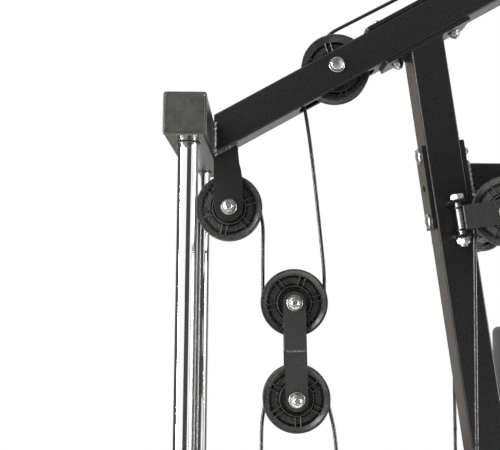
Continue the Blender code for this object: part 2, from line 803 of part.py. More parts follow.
def swivel_turn():
    """How far the near fork is turned outwards, so that its pulley faces the cam."""
    dx, dy = PIVOT_X - HINGE_X, PIVOT_Y - HINGE_Y
    return asin(CAM_R / hypot(dx, dy)) + atan2(dy, dx)


def swivel_brackets():
    """Channels with their webs on the upright's sides, whose two lips hold the hinge bolts."""
    half, wall = BRACKET_H / 2, STRAP
    section = [
        (0, -half), (BRACKET_OUT, -half), (BRACKET_OUT, wall - half), (wall, wall - half),
        (wall, half - wall), (BRACKET_OUT, half - wall), (BRACKET_OUT, half), (0, half),
    ]
    corner = arc((BRACKET_FRONT - BRACKET_CORNER, BRACKET_OUT - BRACKET_CORNER), BRACKET_CORNER, 0, 90, 4)
    plan = [(-BRACKET_BACK, 0), (BRACKET_FRONT, 0)] + corner + [(-BRACKET_BACK, BRACKET_OUT)]
    for name, side in (("near", -1), ("far", 1)):
        on_face = vec(HINGE_X, side * (TUBE / 2 + SEAT), SWIVEL_Z)
        channel = placed(extruded([section], 4 * BRACKET_BACK), frame(on_face, side * Y, UP_W))
        profile = placed(extruded([plan], 2 * BRACKET_H), frame(on_face, UP_U, side * Y))
        hole = placed(bore(HINGE_R, 2 * BRACKET_H), swivel_matrix(side))
        add("swivel_bracket_" + name, cut(common(channel, profile), hole), POWDER)
        pin = bolt(-half, half, HINGE_R, HINGE_WASHER_R, AXLE_FLAT)
        add("hinge_bolt_" + name, placed(pin, swivel_matrix(side)), ZINC)


# Pulleys

def pulley_mesh(dished=False, steps=14):
    """Grooved wheel with a hub, about Z; a dished one has its web set back between rim and hub."""
    half, hub, web = PULLEY_W / 2, HUB_W / 2, WEB_T / 2
    hole = (AXLE_R + SEAT) / cos(pi / steps)
    groove = [
        (PULLEY_R, half), (GROOVE_FLOOR_R, GROOVE_FLOOR_W / 2),
        (GROOVE_FLOOR_R, -GROOVE_FLOOR_W / 2), (PULLEY_R, -half),
    ]
    dish = [(RIM_IN_R, -half), (RIM_IN_R, -web)] if dished else []
    centre = [(HUB_R, -web), (HUB_R, -hub), (hole, -hub), (hole, hub), (HUB_R, hub), (HUB_R, web)]
    opposite = [(r, -z) for r, z in reversed(dish)]
    return turned(groove + dish + centre + opposite, steps)


def across(centre, turn=0.0):
    """Pulley whose axle runs across the machine."""
    return frame(centre, X, Z) @ Matrix.Rotation(turn, 4, "Z")


def middle(place):
    return vec(place[0], 0, place[1])


def strap_pair(pulley_z, web_z, width=STRAP_W, bored=True):
    """U-shaped strap about the origin's X axis: local Y spans the legs, Z runs from web to pulley."""
    inner, outer = CHEEK_IN, CHEEK_IN + STRAP
    way = 1 if pulley_z > web_z else -1
    tip = pulley_z + way * width / 2
    legs = [
        (-outer, tip), (-inner, tip), (-inner, web_z + way * STRAP), (inner, web_z + way * STRAP),
        (inner, tip), (outer, tip), (outer, web_z), (-outer, web_z),
    ]
    channel = placed(extruded([legs], width), frame(vec(0, 0, 0), Y, Z))
    side = arc((0, pulley_z), width / 2, 0, 180 * way, 10)
    side += [(-width / 2, web_z - way * 0.01), (width / 2, web_z - way * 0.01)]
    profile = placed(extruded([side], 4 * outer), frame(vec(0, 0, 0), X, Z))
    strap = common(channel, profile)
    if not bored:
        return strap
    return cut(strap, placed(bore(AXLE_R), frame(vec(0, 0, pulley_z), X, Z)))


def axle(reach=CHEEK_IN + STRAP, spaced=False):
    """Bolt along local Z through two cheeks."""
    return bolt(-reach, reach, AXLE_R, AXLE_WASHER_R, AXLE_FLAT, spaced=spaced)


def fixed_axle(reach=CHEEK_IN + STRAP):
    """Axle whose round heads are joined to its cheeks."""
    face = reach - WELD
    end = face + BOLT_HEAD_H
    sections = [(-end, AXLE_HEAD_R, False), (-face, AXLE_HEAD_R, False), (-face, AXLE_R, False)]
    sections += [(-z, radius, flat) for z, radius, flat in reversed(sections)]
    return stepped(sections, 10)


def main_pulleys(shared, plain):
    places = {
        "stack_pulley": middle(STACK_PULLEY),
        "beam_pulley": beam_point(BEAM_PULLEY_AT, BEAM_PULLEY_RISE),
        "lat_pulley": beam_point(LAT_PULLEY_AT),
        "base_pulley_rear": middle(BASE_REAR),
        "base_pulley_return": middle(BASE_RETURN),
        "base_pulley_front": middle(BASE_FRONT),
    }
    for name, centre in places.items():
        mesh = shared if name in ("stack_pulley", "beam_pulley") else plain
        add(name, mesh, NYLON, body(name + "_axis", centre), across(vec(0, 0, 0)))
    return places


def floating_block(shared):
    carrier = body("pulley_block_axis", middle(BLOCK_UPPER))
    seam = (BLOCK_UPPER[1] + BLOCK_LOWER[1]) / 2
    for name, place, gap in (("upper", BLOCK_UPPER, SEAT / 2), ("lower", BLOCK_LOWER, -SEAT / 2)):
        strap = placed(strap_pair(place[1], seam + gap), Matrix.Translation(vec(place[0], 0, 0)))
        add("block_strap_" + name, strap, POWDER, carrier)
        add("block_axle_" + name, placed(axle(), across(middle(place))), ZINC, carrier)
        spin = body(f"block_pulley_{name}_axis", middle(place))
        add("block_pulley_" + name, shared, NYLON, spin, across(vec(0, 0, 0)))


def butterfly_block(shared):
    """Strap and pulley that hang in the loop of the butterfly cable, its axle along X."""
    x, z = BUTTERFLY_PULLEY
    carrier = body("butterfly_block_axis", middle(BUTTERFLY_PULLEY))
    strap = strap_pair(0, -(PULLEY_R + BLOCK_DROP), bored=False)
    turn = Matrix.Rotation(pi / 2, 4, "Z")
    strap = placed(strap, Matrix.Translation(vec(x, 0, z)) @ turn)
    pin = placed(fixed_axle(), frame(vec(x, 0, z), Y, Z))
    add("butterfly_block", union(strap, pin), POWDER, carrier)
    spin = body("butterfly_pulley_axis", middle(BUTTERFLY_PULLEY))
    add("butterfly_pulley", shared, NYLON, spin, frame(vec(0, 0, 0), Y, Z))


def swivels(shared):
    tab_length, tab_width, tab_thick = FORK_TAB
    for name, side in (("near", -1), ("far", 1)):
        matrix = swivel_matrix(side, side * swivel_turn())
        strap = strap_pair(SWIVEL_REACH, FORK_WEB, FORK_W, bored=False)
        strap = placed(strap, Matrix.Rotation(pi / 2, 4, "Y"))
        tabs = []
        for level in (-1, 1):
            tab = extruded([rounded(tab_length, tab_width, STRAP)], tab_thick)
            at = vec(-tab_thick / 2, 0, level * (FORK_W - tab_thick) / 2)
            tabs.append(placed(tab, Matrix.Translation(at)))
        pin = placed(fixed_axle(), frame(vec(SWIVEL_REACH, 0, 0), X, Z))
        fork = union(strap, pin, *tabs)
        fork = cut(fork, bore(HINGE_R))
        carrier = body("swivel_axis_" + name, vec(HINGE_X, side * HINGE_Y, SWIVEL_Z))
        add("swivel_fork_" + name, placed(fork, matrix), POWDER, carrier)
        centre = matrix @ vec(SWIVEL_REACH, 0, 0)
        spin = body("swivel_pulley_axis_" + name, centre)
        local = Matrix.Translation(-centre) @ matrix @ frame(vec(SWIVEL_REACH, 0, 0), X, Z)
        add("swivel_pulley_" + name, shared, NYLON, spin, local)


# Stack

def weight_plate(thickness):
    holes = [circle(ROD_R + ROD_HOLE_GAP, (0, side * ROD_SPACING / 2), 8) for side in (-1, 1)]
    holes.append(circle(STEM_R + STEM_HOLE_GAP, (STEM_X, 0), 8))
    return extruded([rounded(PLATE_X, PLATE_Y, PLATE_CORNER, 1)] + holes, thickness)


def pile(first, count):
    """Stacked plates, which meet inside the groove that runs round each joint."""
    base = STACK_BASE + first * PITCH
    height = count * PITCH - PLATE_GAP
    whole = placed(weight_plate(height), Matrix.Translation(vec(0, 0, base + height / 2)))
    inner = rounded(PLATE_X - 2 * PLATE_GROOVE, PLATE_Y - 2 * PLATE_GROOVE, PLATE_CORNER, 1)
    ring = extruded([rectangle(-PLATE_X, PLATE_X, -PLATE_Y, PLATE_Y), inner], PLATE_GAP)
    channel_end = STEM_X + STEM_R + PIN_CHANNEL_END
    length = channel_end + PLATE_X
    middle_x = channel_end - length / 2
    # The lowest channel is open below, so its cutter reaches down past the face
    first_channel = block((length, PIN_CHANNEL_W, 2 * PIN_CHANNEL_H))
    channels = [placed(first_channel, Matrix.Translation(vec(middle_x, 0, base)))]
    grooves = []
    for i in range(1, count):
        level = base + i * PITCH
        grooves.append(placed(ring.copy(), Matrix.Translation(vec(0, 0, level - PLATE_GAP / 2))))
        channel = block((length, PIN_CHANNEL_W, PIN_CHANNEL_H))
        channels.append(placed(channel, Matrix.Translation(vec(middle_x, 0, level + PIN_CHANNEL_H / 2))))
    return cut(whole, joined(grooves), joined(channels))


def stack():
    add("resting_plates", pile(0, FIXED_PLATES), IRON)
    top_base = STACK_BASE + PLATES * PITCH
    carrier = body("stack_lift_axis", vec(STEM_X, 0, top_base))
    add("lifted_plates", pile(FIXED_PLATES, LIFTED_PLATES), IRON, carrier)

    head = weight_plate(TOP_PLATE_T)
    boss = drum(BOSS_R, BOSS_H + 2 * WELD, 20)
    boss = placed(boss, Matrix.Translation(vec(STEM_X, 0, TOP_PLATE_T / 2 + BOSS_H / 2)))
    hole = placed(drum(STEM_R + SEAT, 4 * TUBE, 20), Matrix.Translation(vec(STEM_X, 0, 0)))
    head = cut(union(head, boss), hole)
    head = placed(head, Matrix.Translation(vec(0, 0, top_base + TOP_PLATE_T / 2)))
    add("top_plate", head, IRON, carrier)

    nut_base = top_base + TOP_PLATE_T + BOSS_H + WELD + SEAT
    nut_top = nut_base + STEM_NUT_H
    stem_base = STACK_BASE - STEM_TAIL
    stem_end = nut_base + STEM_RISE
    sections = [
        (stem_base, STEM_R * 0.8, False),
        (stem_base + STEM_TAIL * 0.4, STEM_R, False),
        (nut_base, STEM_R, False),
        (nut_base, STEM_NUT_FLAT, True),
        (nut_top, STEM_NUT_FLAT, True),
        (nut_top, FERRULE_R, False),
        (stem_end, FERRULE_R, False),
    ]
    half_facet = Matrix.Rotation(pi / 12, 4, "Z")
    stem = placed(stepped(sections, 12), Matrix.Translation(vec(STEM_X, 0, 0)) @ half_facet)
    holes = [placed(bore(PIN_R), frame(vec(STEM_X, 0, pin_height(i)), Y, Z)) for i in range(PLATES)]
    add("selector_stem", cut(stem, *holes), CHROME, carrier)

    z = pin_height(FIXED_PLATES)
    rear = -PLATE_X / 2 - PIN_KNOB_GAP
    tip = STEM_X + STEM_R + PIN_PROUD
    knob = PIN_KNOB_R
    sections = [
        (rear - PIN_KNOB_L, knob * 0.8, False),
        (rear - PIN_KNOB_L * 0.85, knob, False),
        (rear - PIN_KNOB_L * 0.30, knob, False),
        (rear, knob * 0.75, False),
        (rear, PIN_R, False),
        (tip - PIN_PROUD / 2, PIN_R, False),
        (tip, PIN_R * 0.6, False),
    ]
    pin_axis = body("selector_pin_axis", vec(rear, 0, z))
    pin = placed(stepped(sections), frame(vec(0, 0, z), Y, Z))
    add("selector_pin", pin, RUBBER, pin_axis)
    return stem_end


def pin_height(i):
    """Centre of the pin when it lies in the channel of plate i, against the channel's roof."""
    return STACK_BASE + i * PITCH + PIN_CHANNEL_H - SEAT - PIN_R


# Butterfly arms

def butterfly_arms():
    for name, side in (("near", -1), ("far", 1)):
        pivot = vec(PIVOT_X, side * PIVOT_Y, 0)
        axis = body("butterfly_arm_axis_" + name, pivot + vec(0, 0, CAM_Z))
        lever_z = SLEEVE_BASE_Z + ARM_TUBE_R + SLEEVE_LIP
        route = [(0, lever_z)] + [
            (y, z) for y, z in arc((ARM_REACH - ARM_BEND, lever_z - ARM_BEND), ARM_BEND, 90, 0, 6)
        ]
        route.append((ARM_REACH, lever_z - ARM_DROP))
        tube = pipe([vec(PIVOT_X, side * (PIVOT_Y + y), z) for y, z in route], ARM_TUBE_R, 2)
        sleeve_top = FORWARD_TUBE_Z - SLIM_TUBE / 2 - SEAT
        half = CAM_T / 2
        floor = CAM_R - CABLE_R - SEAT
        sleeve = turned(
            [
                (SLEEVE_R, sleeve_top), (SLEEVE_R, CAM_Z + half), (CAM_R + CAM_RIM, CAM_Z + half),
                (floor, CAM_Z + CABLE_R), (floor, CAM_Z - CABLE_R), (CAM_R + CAM_RIM, CAM_Z - half),
                (SLEEVE_R, CAM_Z - half), (SLEEVE_R, SLEEVE_BASE_Z), (PIVOT_R * 0.5, SLEEVE_BASE_Z),
                (PIVOT_R * 0.5, sleeve_top),
            ],
            16,
        )
        sleeve = placed(sleeve, Matrix.Translation(pivot))
        hole = placed(bore(PIVOT_R, 6 * TUBE), Matrix.Translation(pivot + vec(0, 0, CAM_Z)))
        arm = cut(union(sleeve, tube), hole)
        add("butterfly_arm_" + name, arm, POWDER, axis)
        pad = foam_roll(ARM_PAD_R, ARM_PAD_L, ARM_TUBE_R + SEAT)
        base_z = lever_z - ARM_DROP + ARM_PAD_RISE
        place = vec(PIVOT_X, side * (PIVOT_Y + ARM_REACH), base_z + ARM_PAD_L / 2)
        add("arm_pad_" + name, placed(pad, Matrix.Translation(place)), FOAM, axis)


def foam_roll(radius, length, inner):
    """Foam sleeve about Z with soft ends."""
    half, edge, steps = length / 2, ROLL_EDGE, 14
    hole = inner / cos(pi / steps)
    return turned(
        [
            (radius * 0.88, half), (radius, half - edge), (radius, edge - half),
            (radius * 0.88, -half), (hole, -half), (hole, half),
        ],
        steps,
    )


# Seat, back and leg lever

def cushion(size):
    """Crowned pad with drawn-in corners: a cube's grid pushed out to a superellipsoid, its back flat."""
    work = bmesh.new()
    bmesh.ops.create_cube(work, size=2.0)
    bmesh.ops.subdivide_edges(work, edges=work.edges, cuts=6, use_grid_fill=True)
    for vertex in work.verts:
        u = Vector([c * (1.5 - 0.5 * c * c) for c in vertex.co])
        norm = sum(abs(c) ** CROWN_POWER for c in u) ** (1 / CROWN_POWER)
        vertex.co = vec(*(c / norm * s / 2 for c, s in zip(u, size)))
        vertex.co.z = max(vertex.co.z + size[2] * BACK_SHARE, 0)
    mesh = bpy.data.meshes.new("cushion")
    work.to_mesh(mesh)
    work.free()
    return mesh


def seat():
    low = SEAT_RAIL_Z - TUBE / 2
    face = upright_point((UPRIGHT_AXIS_Z - SEAT_RAIL_Z) / cos(LEAN), UPRIGHT_D / 2 + SEAT)
    rail = square_tube(vec(face.x - TUBE, 0, SEAT_RAIL_Z), vec(SEAT_RAIL_END, 0, SEAT_RAIL_Z), Y)
    rail = cut_beyond(rail, face, -UP_U)
    post = square_tube(vec(POST_X, 0, BASE_TOP + SEAT), vec(POST_X, 0, low + 2 * WELD), Y)
    notch = placed(
        block((2 * TUBE, CABLE_NOTCH_W, CABLE_NOTCH_H)),
        Matrix.Translation(vec(POST_X, 0, BASE_TOP + CABLE_NOTCH_H / 2)),
    )
    ears = []
    half = TUBE / 2 - EAR_INSET
    outline = arc((0, 0), half, -90, 90, 8) + [(-EAR_LENGTH, half), (-EAR_LENGTH, -half)]
    for side in (-1, 1):
        ear = extruded([outline, circle(ROLLER_ROD_R + RUN)], STRAP)
        y = side * (TUBE / 2 + STRAP / 2 - WELD)
        ears.append(placed(ear, in_plane(vec(LEVER_X, y, SEAT_RAIL_Z))))
    add("seat_frame", union(cut(post, notch), rail, *ears), POWDER)
    top = SEAT_RAIL_Z + TUBE / 2 + SEAT
    seat_pad = cushion((SEAT_PAD_L, SEAT_PAD_W, SEAT_PAD_H))
    add("seat_pad", placed(seat_pad, Matrix.Translation(vec(SEAT_PAD_X, 0, top))), VINYL)
    down = (UPRIGHT_AXIS_Z - BACK_PAD_Z) / cos(LEAN)
    centre = upright_point(down, UPRIGHT_D / 2 + SEAT)
    back_pad = cushion((BACK_PAD_W, BACK_PAD_L, BACK_PAD_H))
    add("back_pad", placed(back_pad, frame(centre, Y, UP_W)), VINYL)


def add_rollers(name, z, parent=None):
    for place, side in (("near", -1), ("far", 1)):
        roll = foam_roll(ROLLER_R, ROLLER_L, ROLLER_ROD_R + SEAT)
        centre = vec(LEVER_X, side * (ROLLER_IN + ROLLER_L / 2), z)
        add(f"{name}_{place}", placed(roll, frame(centre, X, Z)), FOAM, parent)


def leg_lever():
    axis = body("leg_lever_axis", vec(LEVER_X, 0, SEAT_RAIL_Z))
    tube = square_tube(
        vec(LEVER_X, 0, LEVER_BASE_Z), vec(LEVER_X, 0, LEVER_TOP_Z), Y, SLIM_TUBE, SLIM_TUBE, SLIM_WALL
    )
    rod_length = 2 * (ROLLER_IN + ROLLER_L + ROD_PROUD)
    rod = placed(drum(ROLLER_ROD_R, rod_length, 16), frame(vec(LEVER_X, 0, LEVER_ROD_Z), X, Z))
    tab_outline = arc((-HOOK_TAB_OUT, 0), HOOK_TAB_R, 90, 270, 6)
    tab_outline += [(2 * WELD, -HOOK_TAB_R), (2 * WELD, HOOK_TAB_R)]
    tab = extruded([tab_outline, circle(HOOK_HOLE_R, (-HOOK_TAB_OUT, 0), 8)], STRAP)
    tab = placed(tab, in_plane(vec(LEVER_X - SLIM_TUBE / 2, 0, LEVER_ROD_Z + HOOK_RISE)))
    hole = placed(drum(ROLLER_ROD_R + RUN, 4 * TUBE, 16), frame(vec(LEVER_X, 0, SEAT_RAIL_Z), X, Z))
    add("leg_lever", cut(union(tube, rod, tab), hole), POWDER, axis)
    add_rollers("lower_roller", LEVER_ROD_Z, axis)
    add_rollers("upper_roller", SEAT_RAIL_Z)
    axle_rod = drum(ROLLER_ROD_R, rod_length, 16)
    add("lever_axle", placed(axle_rod, frame(vec(LEVER_X, 0, SEAT_RAIL_Z), X, Z)), ZINC)


# Lat bar

def lat_bar():
    x = lat_cable_x()
    axis = body("lat_bar_axis", vec(x, 0, LAT_BAR_Z))
    bend_y = LAT_BAR_HALF - LAT_BAR_BEND
    half = [
        (LAT_BAR_HALF, -LAT_BAR_DROP), (bend_y + LAT_BAR_BEND * 0.31, -LAT_BAR_DROP * 0.33),
        (bend_y + LAT_BAR_BEND * 0.11, -LAT_BAR_DROP * 0.11), (bend_y - LAT_BAR_BEND * 0.11, 0),
    ]
    route = [vec(x, -y, LAT_BAR_Z + z) for y, z in half]
    route += [vec(x, y, LAT_BAR_Z + z) for y, z in reversed(half)]
    bar = pipe(route, LAT_BAR_R, 2)
    tab_centre = LAT_BAR_R + TAB_R
    outline = arc((0, tab_centre), TAB_R, 0, 180, 8) + [(-TAB_R, 0), (TAB_R, 0)]
    tab = placed(extruded([outline], TAB_T), frame(vec(x, 0, LAT_BAR_Z), Y, Z))
    grips = []
    for side in (-1, 1):
        end = vec(x, side * half[0][0], LAT_BAR_Z + half[0][1])
        inner = vec(x, side * half[1][0], LAT_BAR_Z + half[1][1])
        direction = (inner - end).normalized()
        centre = end + direction * (GRIP_L / 2 - GRIP_T)
        grips.append(placed(drum(LAT_BAR_R + GRIP_T, GRIP_L, 14), frame(centre, X, direction.cross(X))))
    low = LAT_BAR_Z + tab_centre + TAB_R - 2 * LINK_R
    ends = LINK_W / 2 - LINK_R
    ring = arc((0, low + ends), ends, 180, 360, 6) + arc((0, low + LINK_H - ends), ends, 0, 180, 6)
    link = ring_pipe([vec(x + u, 0, v) for u, v in ring], LINK_R)
    add("lat_bar", union(bar, tab, link, *grips), CHROME, axis)
    return low + LINK_H + LINK_R


def ring_pipe(points, radius):
    """Closed loop of round wire."""
    curve = bpy.data.curves.new("ring", "CURVE")
    curve.dimensions = "3D"
    curve.bevel_depth = radius
    curve.bevel_resolution = 1
    spline = curve.splines.new("POLY")
    spline.points.add(len(points) - 1)
    for target, point in zip(spline.points, points):
        target.co = (*point, 1)
    spline.use_cyclic_u = True
    obj = bpy.data.objects.new("ring", curve)
    CUTTERS.objects.link(obj)
    return outward(evaluated(obj))


def lat_cable_x():
    return beam_point(LAT_PULLEY_AT).x + CABLE_AT


# Cables

def tangent(a, b):
    """Where a straight run leaves circle a and meets circle b. Each is (x, z, radius, way), way +1 for a
    run that goes round it anticlockwise; a point has radius 0."""
    (ax, az, ar, aw), (bx, bz, br, bw) = a, b
    dx, dz = bx - ax, bz - az
    distance = hypot(dx, dz)
    offset = ar * aw - br * bw
    bearing = atan2(dz, dx) + asin(offset / distance)
    nx, nz = sin(bearing), -cos(bearing)
    return (ax + nx * ar * aw, az + nz * ar * aw), (bx + nx * br * bw, bz + nz * br * bw)


def around(start, sweep, radius, step=radians(18)):
    """Angles and radius of the corners of a cable that is bent round a circle, outside it all the way."""
    count = max(1, round(abs(sweep) / step))
    return [start + sweep * (i + 0.5) / count for i in range(count)], radius / cos(sweep / count / 2)


def belt(stations):
    """Points of a cable over circles, which it meets and leaves along their tangents."""
    runs = [tangent(a, b) for a, b in zip(stations, stations[1:])]
    points = [runs[0][0]]
    for (x, z, radius, way), (_, arrive), (leave, _) in zip(stations[1:], runs, runs[1:]):
        start = atan2(arrive[1] - z, arrive[0] - x)
        sweep = (atan2(leave[1] - z, leave[0] - x) - start) * way % tau * way
        angles, reach = around(start, sweep, radius)
        points += [(x + reach * cos(a), z + reach * sin(a)) for a in angles]
    points.append(runs[-1][1])
    return points


def high_cable(stem_top, link_top):
    beam_pulley = beam_point(BEAM_PULLEY_AT, BEAM_PULLEY_RISE)
    lat_pulley = beam_point(LAT_PULLEY_AT)
    route = belt(
        [
            (STEM_X, stem_top + SEAT, 0, 1),
            (*STACK_PULLEY, CABLE_AT, -1),
            (*BLOCK_UPPER, CABLE_AT, 1),
            (beam_pulley.x, beam_pulley.z, CABLE_AT, -1),
            (lat_pulley.x, lat_pulley.z, CABLE_AT, -1),
            (lat_cable_x(), link_top + SEAT, 0, 1),
        ]
    )
    add("high_cable", pipe([vec(x, 0, z) for x, z in route], CABLE_R), CABLE)


def low_cable():
    x, z = BUTTERFLY_PULLEY
    hook_x = LEVER_X - SLIM_TUBE / 2 - HOOK_TAB_OUT - HOOK_TAB_R - HOOK_GAP
    route = belt(
        [
            (x, z - PULLEY_R - BLOCK_DROP - SEAT, 0, 1),
            (*BASE_RETURN, CABLE_AT, -1),
            (*BLOCK_LOWER, CABLE_AT, 1),
            (*BASE_REAR, CABLE_AT, 1),
            (*BASE_FRONT, CABLE_AT, 1),
            (hook_x, LEVER_ROD_Z + HOOK_RISE, 0, 1),
        ]
    )
    add("low_cable", pipe([vec(x, 0, z) for x, z in route], CABLE_R), CABLE)


def butterfly_cable():
    """From one cam, over its swivel pulley, under the butterfly pulley and back up to the other cam."""
    x, z = BUTTERFLY_PULLEY
    matrix = swivel_matrix(-1, -swivel_turn())
    inverse = matrix.inverted()
    bottom = vec(x, -CABLE_AT, z)
    # On the cam the run arrives at its outer side and goes on round its front
    swivel_top = matrix @ vec(SWIVEL_REACH, 0, CABLE_AT)
    away = Vector((PIVOT_X - swivel_top.x, -PIVOT_Y - swivel_top.y))
    bearing = atan2(away.y, away.x) - asin(CAM_R / away.length)
    first = bearing - pi / 2
    turns, reach = around(first, radians(150), CAM_R)
    cam = [vec(PIVOT_X + reach * cos(a), -PIVOT_Y + reach * sin(a), CAM_Z) for a in turns]
    low, high = inverse @ bottom, inverse @ cam[0]
    route = belt(
        [(low.x, low.z, 0, 1), (SWIVEL_REACH, 0, CABLE_AT, -1), (high.x, high.z, 0, 1)]
    )
    rise = [matrix @ vec(u, 0, w) for u, w in route[1:-1]]
    near = list(reversed(cam)) + list(reversed(rise))
    turns, reach = around(pi, pi, CABLE_AT)
    loop = [vec(x, reach * cos(a), z + reach * sin(a)) for a in turns]
    far = [vec(p.x, -p.y, p.z) for p in reversed(near)]
    add("butterfly_cable", pipe(near + loop + far, CABLE_R), CABLE)


# Axles shown as pieces of their own

def main_axles(places):
    add("stack_pulley_axle", placed(axle(), across(places["stack_pulley"])), ZINC)
    through = axle(TUBE / 2, spaced=True)
    add("beam_pulley_axle", placed(through, frame(places["beam_pulley"], BEAM_U, BEAM_W)), ZINC)


def centre_on_floor():
    """Puts the origin under the middle of the machine's box."""
    bpy.context.view_layer.update()
    corners = [
        obj.matrix_world @ Vector(corner)
        for obj in PARTS.objects if obj.type == "MESH" for corner in obj.bound_box
    ]
    GYM.location.x = -(min(c.x for c in corners) + max(c.x for c in corners)) / 2
    bpy.context.view_layer.update()
    print("origin is at x", round(-GYM.location.x, 5), "from the guide rods")


base()
rods_and_head()
beam()
clamp_plate()
upright()
backing_plate()
butterfly_frame()
swivel_brackets()
dished_pulley = pulley_mesh(True, 18)
plain_pulley = pulley_mesh()
pulley_places = main_pulleys(dished_pulley, plain_pulley)
floating_block(dished_pulley)
butterfly_block(plain_pulley)
swivels(plain_pulley)
stem_end = stack()
butterfly_arms()
seat()
leg_lever()
link_end = lat_bar()
high_cable(stem_end, link_end)
low_cable()
butterfly_cable()
main_axles(pulley_places)
centre_on_floor()
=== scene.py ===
"""Looks of a home multi gym: powder-coated frame, chrome guide rods, ribbed nylon pulleys, coated cables,
weight stack, butterfly arms, vinyl pads and foam rollers. Metres, +Z up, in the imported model's frame."""

import json
from math import asin, atan2, cos, exp, hypot, pi, radians, sin, tau

import bmesh
import bpy
from mathutils import Matrix, Vector


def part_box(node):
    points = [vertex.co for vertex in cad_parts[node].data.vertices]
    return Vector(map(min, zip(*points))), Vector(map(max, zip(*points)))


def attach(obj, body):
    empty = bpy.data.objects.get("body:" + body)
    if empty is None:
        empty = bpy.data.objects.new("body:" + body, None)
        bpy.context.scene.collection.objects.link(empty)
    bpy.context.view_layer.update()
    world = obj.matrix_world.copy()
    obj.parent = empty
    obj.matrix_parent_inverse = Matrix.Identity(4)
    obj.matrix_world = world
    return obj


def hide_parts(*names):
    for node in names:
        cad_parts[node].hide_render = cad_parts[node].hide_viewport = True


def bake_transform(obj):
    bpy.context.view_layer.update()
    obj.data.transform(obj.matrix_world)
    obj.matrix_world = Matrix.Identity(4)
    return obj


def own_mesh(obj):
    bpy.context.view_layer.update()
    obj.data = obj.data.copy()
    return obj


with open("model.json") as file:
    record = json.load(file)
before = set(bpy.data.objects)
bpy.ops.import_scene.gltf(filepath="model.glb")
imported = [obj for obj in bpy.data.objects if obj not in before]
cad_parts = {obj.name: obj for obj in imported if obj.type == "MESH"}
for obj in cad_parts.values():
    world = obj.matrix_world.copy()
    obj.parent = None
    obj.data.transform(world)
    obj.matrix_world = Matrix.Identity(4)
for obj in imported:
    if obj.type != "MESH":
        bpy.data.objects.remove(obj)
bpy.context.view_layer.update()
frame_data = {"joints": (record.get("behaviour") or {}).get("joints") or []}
JOINTS = {joint["name"]: joint for joint in frame_data["joints"]}


def vec(x, y, z):
    return Vector((x, y, z))


def place_of(joint):
    return Vector(JOINTS[joint]["pos_m"])


def middle_of(node):
    low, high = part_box(node)
    return (low + high) / 2


def size_of(node):
    low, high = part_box(node)
    return high - low


X, Y, Z = vec(1, 0, 0), vec(0, 1, 0), vec(0, 0, 1)

# Places and sizes that come from the frame
RODS_X = middle_of("guide_rod_near").x
ROD_Y = middle_of("guide_rod_far").y
STACK_PULLEY = place_of("stack_pulley_spin")
BEAM_PULLEY = place_of("beam_pulley_spin")
LAT_PULLEY = place_of("lat_pulley_spin")
BLOCK_UPPER = place_of("upper_block_spin")
BLOCK_LOWER = place_of("lower_block_spin")
BASE_REAR = place_of("rear_base_spin")
BASE_FRONT = place_of("front_base_spin")
BASE_RETURN = place_of("return_base_spin")
HANGING_PULLEY = place_of("hanging_pulley_spin")
LEVER_PIVOT = place_of("leg_lever_swing")
ARM_PIVOT = {-1: place_of("arm_swing_near"), 1: place_of("arm_swing_far")}
HINGE = {-1: place_of("fork_turn_near"), 1: place_of("fork_turn_far")}
SIDES = {-1: "near", 1: "far"}
CORNERS = ((-1, -1), (1, -1), (1, 1), (-1, 1), (-1, -1))
STEM_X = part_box("selector_stem")[0].x + size_of("selector_stem").x / 2
BASE_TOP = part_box("stack_bumper")[0].z
HEAD_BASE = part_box("head_tube")[0].z
LAT_X = middle_of("lat_bar").x
LOWER_ROD_Z = middle_of("lower_roller_near").z

# Tube stock, sheet and clearances
TUBE = 0.050
TUBE_WALL = 0.0025
TUBE_CORNER = 0.0027
INNER_CORNER = 0.0008
SLIM_TUBE = 0.038
SLIM_WALL = 0.002
PLATE = 0.005
STRAP = 0.004
SEAT = 0.0003  # between pieces that touch
SIDE = 0.0016  # beside a pulley's hub
BORE = 0.0003  # round a bolt or a stem
PLUG_T = 0.002

# Top beam and upright
BEAM_SLOPE = radians(29.3)
BEAM_H = 0.0475
BEAM_U = vec(cos(BEAM_SLOPE), 0, sin(BEAM_SLOPE))
BEAM_W = vec(-sin(BEAM_SLOPE), 0, cos(BEAM_SLOPE))
BEAM_ORIGIN = vec(RODS_X + TUBE / 2 + SEAT, 0, HEAD_BASE + 0.0026 + BEAM_H / 2 / cos(BEAM_SLOPE))
BEAM_PULLEY_AT = (BEAM_PULLEY - BEAM_ORIGIN).dot(BEAM_U)
BEAM_PULLEY_RISE = (BEAM_PULLEY - BEAM_ORIGIN).dot(BEAM_W)
LAT_PULLEY_AT = (LAT_PULLEY - BEAM_ORIGIN).dot(BEAM_U)
SLOT_START = 0.121
SLOT_END = 0.239
SLOT_WIDTH = 0.029
FLANGE_BOLTS = (0.273, 0.3635)
FLANGE_MARGIN = 0.021
FLANGE_MIDDLE = sum(FLANGE_BOLTS) / 2
UP_W = Vector(JOINTS["fork_turn_near"]["axis"])
UP_U = vec(UP_W.z, 0, -UP_W.x)
UPRIGHT_D = 0.0465
UPRIGHT_TOP = vec(RODS_X + 0.3197, 0, 1.8006)
CABLE_NOTCH_W = 0.020
CABLE_NOTCH_H = 0.028
BACKING_AT = 0.1571
BACKING_LENGTH = 0.1140
BACKING_WIDTH = 0.042
CARRIAGE_PITCH = 0.0898
CARRIAGE_BOLTS = (BACKING_AT - CARRIAGE_PITCH / 2, BACKING_AT + CARRIAGE_PITCH / 2)

